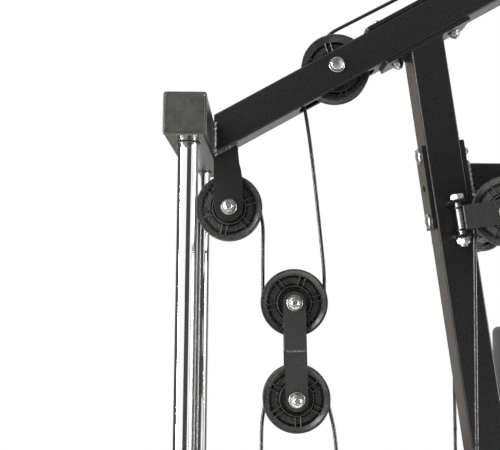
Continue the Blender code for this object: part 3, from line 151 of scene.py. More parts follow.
# Pulleys and cable
PULLEY_R = 0.0453
RIM_FROM = 0.0410
BEAM_RIM_EXTRA = 0.0021
RIB_PAIRS = 6
RIB = (0.0140, 0.0013, 0.0078)
RIB_AT = (0.0303, 0.0036, 0.0074)
GROOVE_R = 0.0390
HUB_HALF = 0.0145
CHEEK_IN = HUB_HALF + SIDE
CHEEK_OUT = CHEEK_IN + STRAP
STRAP_W = 0.030
SPACER_R = 0.008
CABLE_R = 0.0024
CABLE_AT = GROOVE_R + SEAT + CABLE_R
CABLE_STEP = 0.005

# Fasteners: each set is the shank's radius, half the width across the flats and the washer's radius
M10 = 0.005
M8 = 0.004
TUBE_HOLE = M8 + 0.0005
PLATE_HOLE = M8 + 0.0004
WASHER_T = 0.0016
M10_SET = (M10, 0.0082, 0.0106)
M8_SET = (M8, 0.0065, 0.0086)
HINGE_SET = (M10, 0.0082, 0.0100)
PIVOT_SET = (0.006, 0.009, 0.0125)
PIVOT_HOLE = PIVOT_SET[0] + 0.0004

# Butterfly parts
FORWARD_Z = 1.656
CROSSBAR = 0.200
CAM_R = 0.055
CAM_T = 0.017
CAM_LEAD = 0.050
CAM_WRAP = radians(230)
SLEEVE_R = 0.017
SLEEVE_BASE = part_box("butterfly_arm_near")[1].z - 0.0807
ARM_TUBE_R = 0.016
ARM_Z = SLEEVE_BASE + ARM_TUBE_R + 0.004
ARM_REACH = 0.300
ARM_BEND = 0.060
ARM_DROP = 0.420
SWIVEL_REACH = 0.060
BRACKET_H = 0.049
BRACKET_BACK = 0.014
BRACKET_FRONT = 0.009
BRACKET_OUT = 0.040
BRACKET_CORNER = 0.006
BRACKET_BEND = 0.003
HINGE_BOLT_TURN = radians(-14)
FORK_H = 0.031
FORK_WEB = M10 + 0.0012  # from the hinge's axis
FORK_TAB = (0.0142, 0.0142, 0.003)
TIGHT_BEND = 0.0025

# Weight stack
PLATE_PITCH = 0.029
PLATE_T = 0.028
HEAD_PLATE_T = 0.030
STEM_R = 0.011
PIN_R = 0.0045
ROD_HOLE = 0.015
BUSH_BORE = 0.0131
HEAD_BORE = 0.0129
CHANNEL_W = 0.012
CHANNEL_H = 0.011

# Seat, back pad and leg lever
BOARD_T = 0.010
SWELL = 0.006  # of a cover over its foam
PAD_POWER = 6  # of the superellipse that a pad follows
PAD_CROWN = 0.07
PAD_PINCH = 0.012  # at its corners
PAD_FLAT = 0.36  # share of its thickness below the middle, where it is flat
SEAM_SHARE = 0.40
BOARD_SHARE = 0.90
BACK_PAD = vec(0.260, 0.600, 0.0473)
BACK_PAD_Z = 0.860
SEAT_RAIL = (RODS_X + 0.45, RODS_X + 1.010)
POST_X = RODS_X + 0.870
EAR_BACK = 0.110
ROLLER_ROD_R = 0.010
AXLE_BORE = 0.0104
HOOK_RISE = 0.025

# Lat bar
BAR_Z = 1.850
BAR_R = 0.0125
HALF_SPAN = 0.540
BAR_BEND = HALF_SPAN - 0.180
GRIP_L = 0.130
GRIP_R = 0.0155
LINK_R = 0.003


def beam_point(along, rise=0.0, aside=0.0):
    return BEAM_ORIGIN + along * BEAM_U + rise * BEAM_W + aside * Y


def upright_point(down, out=0.0, aside=0.0):
    return UPRIGHT_TOP - down * UP_W + out * UP_U + aside * Y


def upright_at(level, out):
    """Point at a height above the floor, out from the upright's axis at its own slope."""
    return upright_point((UPRIGHT_TOP.z - level) / UP_W.z, out)


def frame(origin, x_axis, y_axis):
    """Matrix that puts a local XY outline at origin, along two square directions."""
    x_axis, y_axis = x_axis.normalized(), y_axis.normalized()
    rotation = Matrix((x_axis, y_axis, x_axis.cross(y_axis))).transposed()
    return Matrix.Translation(origin) @ rotation.to_4x4()


def in_plane(origin):
    return frame(origin, X, Z)


def on_beam(along, rise=0.0):
    """Outline's X along the beam and its Y up from it, so a bolt lies crosswise."""
    return frame(beam_point(along, rise), BEAM_U, BEAM_W)


def through_beam(along, rise=0.0):
    """Outline's X along the beam and its Y crosswise, so a bolt stands square to it."""
    return frame(beam_point(along, rise), BEAM_U, Y)


def through_upright(down, out=0.0):
    return frame(upright_point(down, out), Y, UP_W)


# Materials

def grey(value):
    return (value, value, value)


class Shader:
    """A Principled material and the nodes that feed it, on coordinates in metres."""

    def __init__(self, name, colour, roughness, metallic=0.0):
        self.material = bpy.data.materials.new(name)
        self.material.use_nodes = True
        self.nodes = self.material.node_tree.nodes
        self.links = self.material.node_tree.links
        self.main = self.nodes["Principled BSDF"]
        self.fill(self.main, {"Base Color": (*colour, 1.0), "Roughness": roughness, "Metallic": metallic})
        self.place = self.nodes.new("ShaderNodeTexCoord").outputs["Object"]

    def fill(self, node, values):
        for name, value in values.items():
            node.inputs[name].default_value = value

    def node(self, kind, values, sources):
        """Node with its values set and its inputs linked to other nodes' outputs."""
        node = self.nodes.new(kind)
        self.fill(node, values)
        for name, source in sources.items():
            self.links.new(source, node.inputs[name])
        return node

    def stretched(self, stretch):
        if stretch is None:
            return self.place
        return self.node("ShaderNodeMapping", {"Scale": stretch}, {"Vector": self.place}).outputs["Vector"]

    def noise(self, scale, detail=2.0, roughness=0.5, stretch=None):
        values = {"Scale": scale, "Detail": detail, "Roughness": roughness}
        return self.node("ShaderNodeTexNoise", values, {"Vector": self.stretched(stretch)}).outputs["Fac"]

    def cells(self, scale, stretch=None):
        vector = {"Vector": self.stretched(stretch)}
        return self.node("ShaderNodeTexVoronoi", {"Scale": scale}, vector).outputs["Distance"]

    def source(self, pattern):
        """Pattern is what noise takes, or "cells" and what cells takes."""
        return self.cells(*pattern[1:]) if pattern[0] == "cells" else self.noise(*pattern)

    def ramp(self, source, low, high, start=0.3, end=0.7):
        values = {"From Min": start, "From Max": end, "To Min": low, "To Max": high}
        return self.node("ShaderNodeMapRange", values, {"Value": source}).outputs["Result"]

    def tint(self, pattern, dark, light, start=0.3, end=0.7):
        node = self.nodes.new("ShaderNodeMix")
        node.data_type = "RGBA"
        factor, first, second = node.inputs[0], node.inputs[6], node.inputs[7]
        first.default_value = (*dark, 1.0)
        second.default_value = (*light, 1.0)
        self.links.new(self.ramp(self.source(pattern), 0.0, 1.0, start, end), factor)
        self.links.new(node.outputs[2], self.main.inputs["Base Color"])

    def rough(self, pattern, low, high):
        self.links.new(self.ramp(self.source(pattern), low, high), self.main.inputs["Roughness"])

    def bumps(self, *layers):
        """Each layer is a pattern, a strength and a depth, on top of the one before."""
        normal = {}
        for pattern, strength, depth in layers:
            values = {"Strength": strength, "Distance": depth}
            bump = self.node("ShaderNodeBump", values, {"Height": self.source(pattern), **normal})
            normal = {"Normal": bump.outputs["Normal"]}
        self.links.new(normal["Normal"], self.main.inputs["Normal"])


def finish(name, colour, roughness, *bumps, tint=None, rough=None, slot=None, metallic=0.0, **sockets):
    shader = Shader(name, colour, roughness, metallic)
    if tint:
        shader.tint(*tint)
    if rough:
        shader.rough(*rough)
    shader.bumps(*bumps)
    shader.fill(shader.main, {socket.replace("_", " "): value for socket, value in sockets.items()})
    return shader.material


def powder_coat(name, dark, light):
    return finish(
        name, grey(light), 0.5, ((520, 3.0, 0.7), 0.26, 0.0003), ((1500, 2.0), 0.40, 0.00016),
        tint=((640, 5.0, 0.78), grey(dark), (light, light, light * 0.98), 0.40, 0.66),
        rough=((700, 3.0, 0.7), 0.22, 0.46), slot="powder_coat", Specular_IOR_Level=0.32,
    )


POWDER = powder_coat("powder_coat", 0.000, 0.021)
# The block's straps get a lighter copy of the frame's powder coat: painted light, for the light they catch
STRAP_COAT_PAINTED_LIGHT = powder_coat("strap_coat_painted_light", 0.009, 0.036)
# Weld beads are coated like the frame; the light specks in their tint are painted highlights, glints in place
# of the bumpy bead's reflections
WELD_PAINTED_GLINTS = finish(
    "weld_bead_painted_glints", (0.030, 0.029, 0.028), 0.26, ((600, 3.0), 0.6, 0.0006),
    tint=((520, 3.0), grey(0.014), (0.20, 0.19, 0.18), 0.50, 0.74), rough=((600, 2.0), 0.18, 0.36),
    slot="powder_coat",
)
# Dimmer coated weld: its lighter specks are painted highlights
DIM_WELD_PAINTED_GLINTS = finish(
    "dim_weld_painted_glints", (0.050, 0.050, 0.048), 0.30, ((520, 3.0), 0.5, 0.0006),
    tint=((420, 4.0), (0.036, 0.036, 0.035), (0.11, 0.11, 0.105), 0.42, 0.70),
    rough=((600, 2.0), 0.22, 0.38), slot="powder_coat",
)
# Brighter coated weld: its light grey specks are painted highlights, glints in place of the bead's reflections
BRIGHT_WELD_PAINTED_GLINTS = finish(
    "bright_weld_painted_glints", (0.060, 0.058, 0.055), 0.24, ((600, 3.0), 0.7, 0.0007),
    tint=((700, 4.0), (0.030, 0.029, 0.028), (0.46, 0.45, 0.43), 0.46, 0.70),
    rough=((600, 2.0), 0.16, 0.34), slot="powder_coat",
)
# The chrome's brown edge tint is a painted reflection of warm surroundings
CHROME = finish(
    "chrome", (0.95, 0.95, 0.955), 0.045,
    ((9, 1.0, 0.5, (7, 7, 1)), 0.10, 0.0012), ((900, 3.0, 0.5, (1, 1, 0.25)), 0.05, 0.0002),
    rough=((60, 3.0, 0.5, (1, 1, 0.08)), 0.02, 0.065), metallic=1.0, Specular_Tint=(0.30, 0.27, 0.24, 1.0),
)
ZINC = finish(
    "zinc", (0.62, 0.64, 0.60), 0.32, ((700, 3.0), 0.16, 0.0002),
    tint=((460, 4.0, 0.7), (0.22, 0.235, 0.22), (0.55, 0.565, 0.535), 0.38, 0.60),
    rough=((900, 2.0), 0.24, 0.42), metallic=1.0,
)
NYLON = finish(
    "nylon", (0.024, 0.025, 0.023), 0.28, ((380, 3.0), 0.12, 0.0003),
    tint=((130, 5.0, 0.7), (0.013, 0.014, 0.013), (0.030, 0.031, 0.028), 0.35, 0.68),
    rough=((260, 4.0), 0.20, 0.36),
)
CAP_PLASTIC = finish(
    "cap_plastic", (0.038, 0.040, 0.034), 0.36, ((1300, 2.0), 0.22, 0.0001),
    tint=((120, 5.0, 0.7), (0.018, 0.019, 0.016), (0.044, 0.047, 0.040)), rough=((500, 3.0), 0.28, 0.44),
)
RUBBER = finish("rubber", grey(0.012), 0.7, ((900, 3.0), 0.2, 0.0002), rough=((300, 3.0), 0.55, 0.8))
CABLE = finish(
    "cable_sheath", grey(0.010), 0.30, (("cells", 620, (1, 1, 0.35)), 0.30, 0.0003),
    rough=((400, 3.0), 0.22, 0.42),
)
IRON = finish(
    "cast_iron", (0.030, 0.030, 0.031), 0.5, ((520, 4.0), 0.35, 0.0003),
    tint=((60, 4.0), (0.022, 0.022, 0.023), (0.040, 0.040, 0.041)), rough=((240, 3.0), 0.38, 0.58),
)
VINYL = finish(
    "vinyl", (0.016, 0.016, 0.017), 0.42, ((38, 3.0), 0.12, 0.002), (("cells", 520), 0.45, 0.0003),
    rough=((90, 3.0), 0.36, 0.50), Sheen_Weight=0.08,
)
FOAM = finish(
    "foam", grey(0.013), 0.9, (("cells", 1100), 0.6, 0.0005),
    tint=((1200, 2.0), grey(0.008), grey(0.024), 0.35, 0.7), Sheen_Weight=0.15,
)
FLAT_FINISHES = (POWDER, STRAP_COAT_PAINTED_LIGHT, CAP_PLASTIC, IRON)


# Mesh tools

def linked(name, data):
    obj = bpy.data.objects.new(name, data)
    bpy.context.scene.collection.objects.link(obj)
    return obj


def as_mesh(work, name):
    mesh = bpy.data.meshes.new(name)
    work.to_mesh(mesh)
    work.free()
    return mesh


def evaluated(obj):
    """The mesh of an object with its modifiers, welded; the object is removed."""
    bpy.context.view_layer.update()
    graph = bpy.context.evaluated_depsgraph_get()
    mesh = bpy.data.meshes.new_from_object(obj.evaluated_get(graph))
    bpy.data.objects.remove(obj, do_unlink=True)
    work = bmesh.new()
    work.from_mesh(mesh)
    bmesh.ops.remove_doubles(work, verts=work.verts, dist=1e-6)
    bmesh.ops.recalc_face_normals(work, faces=work.faces)
    work.to_mesh(mesh)
    work.free()
    return mesh


def placed(mesh, matrix):
    mesh.transform(matrix)
    return mesh


def moved(mesh, x, y, z):
    return placed(mesh, Matrix.Translation((x, y, z)))


def extruded(outlines, depth):
    """Flat outline with any holes, in local XY, as thick as depth about z = 0."""
    curve = bpy.data.curves.new("outline", "CURVE")
    curve.dimensions = "2D"
    curve.fill_mode = "BOTH"
    curve.extrude = depth / 2
    for points in outlines:
        spline = curve.splines.new("POLY")
        spline.points.add(len(points) - 1)
        for target, (x, y) in zip(spline.points, points):
            target.co = (x, y, 0, 1)
        spline.use_cyclic_u = True
    return evaluated(linked("temporary", curve))


def turned(profile, steps=64):
    """Closed profile of (radius, z), down its outer side first, turned about Z."""
    mesh = bpy.data.meshes.new("profile")
    count = len(profile)
    mesh.from_pydata([(r, 0, z) for r, z in profile], [(i, (i + 1) % count) for i in range(count)], [])
    obj = linked("temporary", mesh)
    screw = obj.modifiers.new("screw", "SCREW")
    screw.steps = screw.render_steps = steps
    screw.use_merge_vertices = True
    screw.merge_threshold = 1e-5
    return evaluated(obj)


def pipe(points, radius, resolution=6, radii=None, cyclic=False):
    """Round tube of solid section along points; radii scale the section at each."""
    curve = bpy.data.curves.new("pipe", "CURVE")
    curve.dimensions = "3D"
    curve.bevel_depth = radius
    curve.bevel_resolution = resolution
    curve.use_fill_caps = not cyclic
    spline = curve.splines.new("POLY")
    spline.points.add(len(points) - 1)
    for i, (target, point) in enumerate(zip(spline.points, points)):
        target.co = (*point, 1)
        target.radius = radii[i] if radii else 1.0
    spline.use_cyclic_u = cyclic
    return evaluated(linked("temporary", curve))


def drum(radius, length, sides=48):
    work = bmesh.new()
    bmesh.ops.create_cone(work, cap_ends=True, segments=sides, radius1=radius, radius2=radius, depth=length)
    return as_mesh(work, "drum")


def block(size):
    work = bmesh.new()
    bmesh.ops.create_cube(work, size=1.0)
    bmesh.ops.scale(work, vec=size, verts=work.verts)
    return as_mesh(work, "block")


def loft(rings):
    """Skin over rings of as many points each, with flat ends."""
    work = bmesh.new()
    rings = [[work.verts.new(point) for point in ring] for ring in rings]
    for low, high in zip(rings, rings[1:]):
        for i in range(len(low)):
            j = (i + 1) % len(low)
            work.faces.new((low[i], low[j], high[j], high[i]))
    work.faces.new(rings[0][::-1])
    work.faces.new(rings[-1])
    bmesh.ops.recalc_face_normals(work, faces=work.faces)
    return as_mesh(work, "loft")


def stepped(sections, sides=48):
    """Loft along Z between round sections of (z, radius). A third value is half the width across the flats
    of a hexagon that cuts the section off."""
    rings = []
    for z, radius, *flat in sections:
        ring = []
        for angle in (tau * i / sides for i in range(sides)):
            off = (angle + pi / 6) % (pi / 3) - pi / 6
            reach = min(radius, flat[0] / cos(off)) if flat else radius
            ring.append((reach * cos(angle), reach * sin(angle), z))
        rings.append(ring)
    return loft(rings)


def joined(meshes):
    work = bmesh.new()
    for mesh in meshes:
        work.from_mesh(mesh)
    return as_mesh(work, "joined")


def combined(operation, base, others):
    obj = linked("temporary", base)
    cutters = [linked("temporary", other) for other in others]
    for cutter in cutters:
        modifier = obj.modifiers.new("boolean", "BOOLEAN")
        modifier.operation = operation
        modifier.solver = "EXACT"
        modifier.object = cutter
    result = evaluated(obj)
    for cutter in cutters:
        bpy.data.objects.remove(cutter, do_unlink=True)
    return result


def cut(base, *others):
    return combined("DIFFERENCE", base, others)


def common(base, other):
    return combined("INTERSECT", base, [other])


def eased(mesh, width=0.0004, segments=2):
    """Rounds a mesh's sharp edges."""
    work = bmesh.new()
    work.from_mesh(mesh)
    bmesh.ops.dissolve_limit(work, angle_limit=radians(0.5), verts=work.verts, edges=work.edges)
    edges = [e for e in work.edges if len(e.link_faces) == 2 and e.calc_face_angle(0) > radians(35)]
    bmesh.ops.bevel(
        work, geom=edges, offset=width, segments=segments, profile=0.6, affect="EDGES", clamp_overlap=True
    )
    work.to_mesh(mesh)
    work.free()
    return mesh


def slab(outlines, depth, ease=0.0006, segments=2):
    return eased(extruded(outlines, depth), ease, segments)


def arc(centre, radius, start, end, steps):
    angles = [radians(start + (end - start) * i / steps) for i in range(steps + 1)]
    return [(centre[0] + radius * cos(a), centre[1] + radius * sin(a)) for a in angles]


def circle(radius, centre=(0, 0), sides=32):
    return arc(centre, radius, 0, 360, sides)[:-1]


def rounded(width, height, radius, steps=6):
    points = []
    for k, (sx, sy) in enumerate([(1, 1), (-1, 1), (-1, -1), (1, -1)]):
        centre = (sx * (width / 2 - radius), sy * (height / 2 - radius))
        points += arc(centre, radius, 90 * k, 90 * k + 90, steps)
    return points


def square_tube(start, end, across, width=TUBE, depth=TUBE, wall=TUBE_WALL):
    along = end - start
    hollow = rounded(width - 2 * wall, depth - 2 * wall, INNER_CORNER, 3)
    mesh = extruded([rounded(width, depth, TUBE_CORNER), hollow], along.length)
    return placed(mesh, frame((start + end) / 2, across, along.cross(across)))


def slim_tube(start, end, across):
    return square_tube(start, end, across, SLIM_TUBE, SLIM_TUBE, SLIM_WALL)


def plug(tube, wall):
    """Flush cap inside a square tube's end."""
    inner = tube - 2 * wall - 0.0004
    return slab([rounded(inner, inner, 0.001)], PLUG_T, 0.0004)


def cut_beyond(mesh, point, normal, reach=0.4):
    normal = normal.normalized()
    beyond = frame(point + normal * reach / 2, Y.cross(normal), Y)
    return cut(mesh, placed(block((reach, reach, reach)), beyond))


def sleeve(outer, inner, low, high, chamfer=(0, 0), sides=40):
    """Round sleeve from low to high, whose outer edges may have a chamfer, so much in and so much along."""
    inward, along = chamfer
    outline = [(outer, high - along), (outer, low + along)]
    if along:
        outline = [(outer - inward, high), *outline, (outer - inward, low)]
    return turned(outline + [(inner, low), (inner, high)], sides)


def chamfered_rod(radius, length, sides, edge=0.001):
    half = length / 2
    return stepped(
        [(-half, radius - edge), (edge - half, radius), (half - edge, radius), (half, radius - edge)], sides
    )


def dressed(name, mesh, coat, sharp=None):
    mesh.materials.clear()
    mesh.materials.append(coat)
    mesh.shade_smooth()
    if sharp:
        mesh.set_sharp_from_angle(angle=radians(sharp))
    obj = linked(name, mesh)
    if coat in FLAT_FINISHES:
        # Flat faces stay flat beside their rounded edges
        obj.modifiers.new("normals", "WEIGHTED_NORMAL").keep_sharp = True
    return obj


def piece(name, mesh, coat=POWDER, body="frame", node=None, sharp=32):
    """A shown piece in world metres, which rides on a body and may stand for a CAD node."""
    obj = dressed(name, mesh, coat, sharp)
    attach(obj, body)
    if node:
        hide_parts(node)
    return obj


def bead(points, radius, pitch, uneven):
    """Weld bead: ripples along a line of points."""
    fine = []
    for a, b in zip(points, points[1:]):
        count = max(1, round((b - a).length / pitch))
        fine += [a.lerp(b, i / count) for i in range(count)]
    fine.append(points[-1])
    radii = [
        0.86 + uneven * (i % 2) * (0.7 + 0.3 * sin(i * 1.7)) + 0.07 * sin(i * 2.3) for i in range(len(fine))
    ]
    return pipe(fine, radius, 3, radii)


def weld(name, points, radius=0.0022, coat=WELD_PAINTED_GLINTS, body="frame", pitch=0.0016, uneven=0.16):
    return piece(name, bead(points, radius, pitch, uneven), coat, body)


# Fasteners, all along local Z

def hex_head(z, way, flat, height):
    """Chamfered hexagon from z outwards, its outer face dished a little."""
    corner = flat / cos(pi / 6)
    sections = [
        (0, flat * 0.98, flat), (0.0003, corner, flat), (height * 0.72, corner, flat),
        (height * 0.90, flat * 1.045, flat), (height, flat * 0.93, flat), (height, flat * 0.80),
        (height - 0.0004, flat * 0.72),
    ]
    return stepped([(z + way * rise, *rest) for rise, *rest in sections])


def washer(z, way, radius):
    edge = 0.0004
    sections = [(0, radius - edge), (edge, radius), (WASHER_T - edge, radius), (WASHER_T, radius - edge)]
    return stepped([(z + way * rise, r) for rise, r in sections])


def lock_nut(z, way, flat, shank):
    """Nut with its round collar, and the end of the bolt through it."""
    corner, top = flat / cos(pi / 6), flat
    sections = [
        (0, flat * 0.99, flat), (0.0005, corner, flat), (top * 0.60, corner, flat),
        (top * 0.74, flat * 1.02, flat), (top * 0.78, flat * 0.86), (top * 0.95, flat * 0.83),
        (top, flat * 0.74), (top, flat * 0.68), (top - 0.0008, shank * 1.02), (top + 0.0012, shank * 0.98),
        (top + 0.0020, shank * 0.78),
    ]
    return stepped([(z + way * rise, *rest) for rise, *rest in sections])


def washer_and_nut(reach, way, size):
    shank, flat, washer_r = size
    return [washer(way * reach, way, washer_r), lock_nut(way * (reach + WASHER_T), way, flat, shank)]


def bolt(name, matrix, reach, size=M10_SET, body="frame", node=None, nut_way=-1):
    """Bolt through faces at both reaches, with a washer under its head and under its lock nut."""
    shank, flat, washer_r = size
    head_at = -nut_way * (reach + WASHER_T)
    parts = [
        drum(shank - 0.0002, 2 * (reach + WASHER_T), 32), washer(-nut_way * reach, -nut_way, washer_r),
        hex_head(head_at, -nut_way, flat, flat * 0.78), *washer_and_nut(reach, nut_way, size),
    ]
    return piece(name, placed(joined(parts), matrix), ZINC, body, node)


def pulley_bolt(name, centre, body="frame", node=None):
    return bolt(name, in_plane(centre), CHEEK_OUT, body=body, node=node, nut_way=1)


def spacers(prefix, matrix, low, high, middle):
    """Sleeves on an axle at both ends of a pulley's hub, each from low to high about its middle."""
    for way, name in SIDES.items():
        ring = moved(sleeve(SPACER_R, M10 + 0.0002, low, high), 0, 0, way * (HUB_HALF + SEAT + middle))
        piece(f"{prefix}_{name}", placed(ring, matrix), ZINC)


def carriage_head(z, way, radius=0.0102):
    """Low round head, struck a little flat, with a rim."""
    sections = [(z, radius * 0.97), (z + way * 0.0010, radius)]
    for angle in (pi / 2 * i / 7 for i in range(1, 7)):
        sections.append((z + way * (0.0010 + 0.0040 * sin(angle)), radius * cos(angle)))
    return stepped(sections)


# Guide rods and head tube

def rods_and_head():
    bush = [(0.0142, 0.0005), (0.0146, 0.0001), (0.0144, -0.0005), (0.0128, -0.0005), (0.0128, 0.0005)]
    for side, name in SIDES.items():
        low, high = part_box("guide_rod_" + name)
        x, y, z = (low + high) / 2
        rod = chamfered_rod((high.x - low.x) / 2, high.z - low.z, 72)
        piece("rod_" + name, moved(rod, x, y, z), CHROME, node="guide_rod_" + name)
        # Dark rubber ring round each rod's ends; the upper one, under the head tube, also stands in for the
        # shadow at the bore's edge: a painted shadow
        for level, label in ((HEAD_BASE - 0.0007, "upper"), (BASE_TOP - SEAT + 0.0009, "lower")):
            piece(f"rod_bush_{label}_{name}", moved(turned(bush, 48), x, y, level), RUBBER)
    low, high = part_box("head_tube")
    level = (low.z + high.z) / 2
    tube = square_tube(vec(RODS_X, low.y, level), vec(RODS_X, high.y, level), X)
    holes = [moved(drum(HEAD_BORE, TUBE), RODS_X, side * ROD_Y, low.z) for side in SIDES]
    piece("head_crosstube", eased(cut(tube, *holes)), node="head_tube")
    for side, name in SIDES.items():
        head_cap(name, side)
    # Weld of the beam to the head tube
    edge, base = TUBE / 2 - 0.001, BEAM_ORIGIN.z - 0.0272
    x = RODS_X + TUBE / 2 + 0.0006
    for side, name in SIDES.items():
        line = [vec(x, side * edge, base + 0.002), vec(x, side * edge, HEAD_BASE + TUBE - 0.004)]
        weld("head_weld_" + name, line, 0.0042, DIM_WELD_PAINTED_GLINTS, pitch=0.0036, uneven=0.35)
    weld("head_weld_under", [vec(x, -edge, base), vec(x, edge, base)], 0.0017)


def head_cap(name, side):
    """Moulded end cap: a rim, a groove, a shallow recessed panel and a soft outer edge."""
    low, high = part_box("head_cap_" + name)
    centre = (low + high) / 2
    depth, width = high.y - low.y, high.x - low.x
    # Each layer: how far out, how much narrower than the cap, and how much sharper its corners are
    corner = 0.0036
    layers = [
        (0.0, 0.0012, 0), (0.0008, 0, 0), (depth - 0.0016, 0, 0), (depth - 0.0006, 0.0008, 0),
        (depth, 0.0022, 0.0004), (depth, 0.0050, 0.0010), (depth - 0.0010, 0.0062, 0.0014),
        (depth - 0.0011, 0.0072, 0.0016), (depth - 0.0007, 0.0084, 0.0018), (depth - 0.0012, 0.0300, 0.0020),
    ]
    rings = [
        [(x, y, out) for x, y in rounded(width - less, width - less, corner - sharper)]
        for out, less, sharper in layers
    ]
    facing = frame(centre - side * vec(0, depth / 2, 0), -side * X, Z)
    piece("head_end_cap_" + name, placed(loft(rings), facing), CAP_PLASTIC, node="head_cap_" + name, sharp=50)


# Top beam

def top_beam():
    end_at = LAT_PULLEY_AT - PULLEY_R - 0.008
    tube = square_tube(beam_point(-0.03), beam_point(end_at - 0.0025), Y, TUBE, BEAM_H)
    tube = cut_beyond(tube, vec(RODS_X + TUBE / 2 + SEAT, 0, HEAD_BASE + TUBE / 2), -X)
    slot = extruded([rounded(SLOT_END - SLOT_START, SLOT_WIDTH, 0.006)], 2 * TUBE)
    slot = placed(slot, through_beam((SLOT_START + SLOT_END) / 2))
    axis = on_beam(BEAM_PULLEY_AT, BEAM_PULLEY_RISE)
    bores = [placed(drum(M10 + BORE, 2 * TUBE, 32), axis)]
    bores += [placed(drum(TUBE_HOLE, 2 * TUBE, 32), through_beam(at)) for at in FLANGE_BOLTS]
    piece("beam_tube", eased(cut(tube, slot, *bores), 0.0005), node="top_beam")
    cap = slab([rounded(TUBE - 0.0004, BEAM_H - 0.0004, TUBE_CORNER)], PLATE, 0.0012, 3)
    piece("beam_cap", placed(cap, frame(beam_point(end_at), Y, BEAM_W)), CAP_PLASTIC)
    flipped = axis @ Matrix.Rotation(pi, 4, "X")
    bolt("beam_axle_bolt", flipped, TUBE / 2, node="beam_pulley_axle", nut_way=1)
    spacers("beam_spacer", axis, -0.0035, 0.004, 0.0038)
    lat_ears()
    stack_cheeks()
    clamp_plate()


def ear_plate(reach, bore):
    outline = arc((0, 0), reach, -90, 90, 24) + [(-EAR_BACK, reach), (-EAR_BACK, -reach)]
    return slab([outline, circle(bore)], STRAP)


def lat_ears():
    reach = 0.022
    back = LAT_PULLEY_AT - EAR_BACK
    for side, name in SIDES.items():
        centre = beam_point(LAT_PULLEY_AT, 0, side * (TUBE / 2 + SEAT + STRAP / 2))
        piece("lat_ear_" + name, placed(ear_plate(reach, M10), frame(centre, BEAM_U, BEAM_W)))
        edge = side * (TUBE + STRAP) / 2
        weld("lat_ear_weld_" + name, [beam_point(back, -reach, edge), beam_point(back, reach, edge)])
    bolt("lat_axle_bolt", frame(LAT_PULLEY, X, -Z), TUBE / 2 + SEAT + STRAP)
    spacers("lat_spacer", in_plane(LAT_PULLEY), -0.0049, 0.0049, 0.0050)


def stack_cheeks():
    """Two cheeks under the beam, welded along its edges."""
    x, z = STACK_PULLEY.x, STACK_PULLEY.z
    radius, rear, front = 0.0195, -0.0215, 0.0100
    under = beam_point(0, -BEAM_H / 2)

    def beneath(at):
        return under.z + (x + at - under.x) * BEAM_U.z / BEAM_U.x - z

    outline = arc((0, 0), radius, 180, 360, 32)
    outline += [(radius - 0.0004, 0.020), (radius - 0.0016, 0.038), (radius - 0.0035, 0.050)]
    outline += [(radius - 0.0062, 0.060), (front, beneath(front))]
    outline += [(rear, beneath(rear)), (rear + 0.0006, 0.030)]
    for side, name in SIDES.items():
        cheek = slab([outline, circle(M10)], STRAP)
        piece("stack_cheek_" + name, placed(cheek, in_plane(vec(x, side * (CHEEK_IN + STRAP / 2), z))))
        ends = [vec(x + at, side * CHEEK_OUT, z + beneath(at) - 0.0004) for at in (rear, front)]
        weld("stack_cheek_weld_" + name, ends, 0.0030, pitch=0.0026, uneven=0.4)
    pulley_bolt("stack_axle_bolt", STACK_PULLEY, node="stack_pulley_axle")


def flange_plate(rise):
    """Plate with the flange bolts' holes, so far above the beam's axis."""
    length = FLANGE_BOLTS[1] - FLANGE_BOLTS[0] + 2 * FLANGE_MARGIN
    holes = [circle(PLATE_HOLE, (at - FLANGE_MIDDLE, 0)) for at in FLANGE_BOLTS]
    return placed(slab([rounded(length, TUBE, 0.004)] + holes, PLATE), through_beam(FLANGE_MIDDLE, rise))


def clamp_plate():
    piece("beam_top_plate", flange_plate(BEAM_H / 2 + SEAT + PLATE / 2), node="beam_clamp_plate")
    for number, at in enumerate(FLANGE_BOLTS):
        bolt(f"flange_bolt_{number}", through_beam(at), BEAM_H / 2 + SEAT + PLATE, M8_SET)


# Upright and its plates

def cable_notch(x, level):
    return moved(block((2 * TUBE, CABLE_NOTCH_W, CABLE_NOTCH_H)), x, 0, level + CABLE_NOTCH_H / 2)


